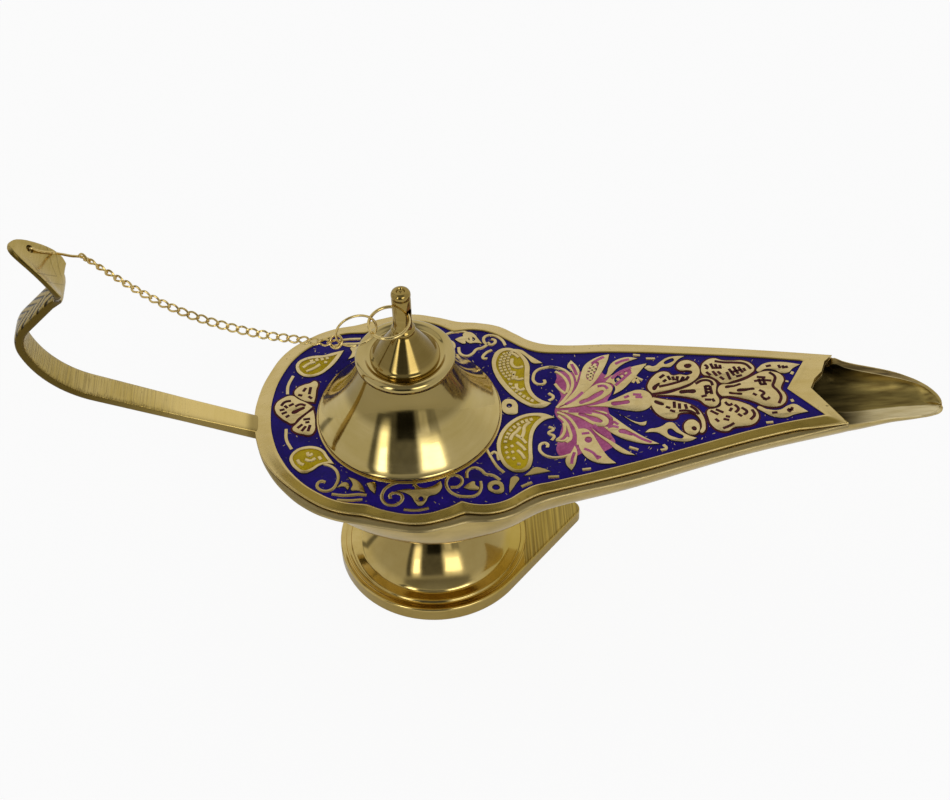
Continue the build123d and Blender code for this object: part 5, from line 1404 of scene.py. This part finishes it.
for share, half_width in ((0.15, 4.25), (0.4, 4.5), (0.65, 4.85), (0.88, 5.3)):
    lean = strap_angle + hood_bend * share
    place = bend_x + bend_radius * math.sin(lean), bend_z - bend_radius * math.cos(lean)
    strap_stations.append((*place, lean, half_width, 1.4, 0.4 * share))
hood_widths = [
    (1.6, 6.55, 1.2), (2.4, 6.8, 1.1), (3.4, 6.95, 1.05), (5.0, 6.9, 1.0), (7.0, 6.6, 1.0), (9.0, 6.1, 1.0),
    (11.0, 5.5, 1.0), (13.0, 4.8, 1.0),
    (15.0, 4.05, 1.0), (16.5, 3.3, 1.0), (17.6, 2.6, 0.95), (18.3, 1.9, 0.85), (18.7, 1.25, 0.7), (18.95, 0.5, 0.4),
]
hood_cup, strap_steps, squareness = 2.12, 40, 0.42


def hood_point(along, out=0.0):
    """A point up the hood's middle line, which stands forward of a straight line."""
    return hood_foot + hood_along * along + hood_out * (0.41 + 1.68 * math.sin(math.pi * (along + 1.5) / 24) + out)


def squared(size, turn):
    """A circle's ordinate, filled out towards a square."""
    return size * math.copysign(abs(turn) ** squareness, turn)


for along, half_width, half_thick in hood_widths:
    place = hood_point(along)
    strap_stations.append((place.x, place.z, hood_lean, half_width, half_thick, hood_cup))
strap_rings = []
for x, z, angle, half_width, half_thick, cup in strap_stations:
    ring = []
    for step in range(strap_steps):
        a = (step + 0.5) * math.tau / strap_steps
        u = squared(half_width, math.cos(a))
        n = squared(half_thick, math.sin(a)) + cup * (u / 7) ** 2
        ring.append((x + math.sin(angle) * n, u, z - math.cos(angle) * n))
    strap_rings.append(ring)
handle_brass = brass_finish(
    "handle_brass", (0.82, 0.63, 0.25), (0.58, 0.42, 0.11),
    low=0.16, high=0.30, grain=(1400, 30, 1400), relief=0.16, stain=0.5,
)
handle_nodes, handle_sockets, handle_place, strap_colour, _ = reworked(handle_brass)
handle_east, handle_north, handle_up = handle_place.axis("X"), handle_place.axis("Y"), handle_place.axis("Z")
handle_facing = handle_nodes.node("ShaderNodeNewGeometry", output="Normal")
facing_east, facing_north = handle_facing.axis("X"), handle_facing.axis("Y")
neck_back = (-facing_east).fade(0.15, 0.45) * handle_up.span(0.098, 0.1175, 0.0006)
scale_teeth = handle_nodes.maths("PINGPONG", (handle_up * 0.9 + abs(handle_north) * 1.1) * 1000, 1.15)
ragged = handle_place.noise(700.0, 2.0)
scale_cuts = (1 - scale_teeth.fade(0.2, 0.62)) * neck_back * ragged.fade(0.25, 0.5)
veed = handle_up - abs(handle_north - 0.0006) * 1.15
two_vees = veed.span(0.1186, 0.1189, 0.00012) + veed.span(0.1154, 0.11565, 0.00012)
scribed = two_vees * facing_east.fade(0.2, 0.4) * handle_up.fade(0.1145, 0.1155)
# Painted light and shade on the strap: a painted shadow where its root meets the plate, a painted highlight on the
# lower strap near the root, and painted shade on its front side faces. It also darkens towards the hood.
root_painted_shadow = handle_east.fade(-0.0470, -0.0446)
file_marks = handle_place.noise(1.0, 4.0, (2800, 60, 2800)).fade(0.44, 0.66)
filed = file_marks * handle_up.span(0.070, 0.101, 0.006) * facing_east.fade(0.0, 0.2)
front_side_painted_shade = (-facing_north).fade(0.35, 0.8)
low_dark = (-handle_east).fade(0.060, 0.100) * 0.35
root_painted_highlight = (handle_east.fade(-0.076, -0.058) * 0.6).blend(strap_colour, (0.88, 0.66, 0.24, 1))
shaded_strap_colour = (front_side_painted_shade * 0.7 + low_dark).blend(root_painted_highlight, (0.13, 0.085, 0.015, 1))
marks_and_root_shadow = filed * 0.45 + scribed * 0.6 + root_painted_shadow * 0.6 + neck_back * 0.3
marked_and_shaded_colour = marks_and_root_shadow.blend(shaded_strap_colour, (0.15, 0.10, 0.025, 1))
handle_nodes.feed(handle_sockets["Base Color"], (scale_cuts * 0.95).blend(marked_and_shaded_colour, (0.022, 0.014, 0.006, 1)))
handle_nodes.feed(handle_sockets["Normal"], (-scale_cuts - filed * 0.35).bump(0.5, 0.0005))
strap_handle = ringed_piece("strap_handle", strap_rings, handle_brass)
hole_along, hole_north, hole_radius = 13.6, 1.8, 1.15
drilled(strap_handle, hood_point(hole_along, 0.14) + Vector((0, hole_north, 0)), hood_out, hole_radius)
carried(strap_handle, "lamp", "satin_brass", "cobra_handle")
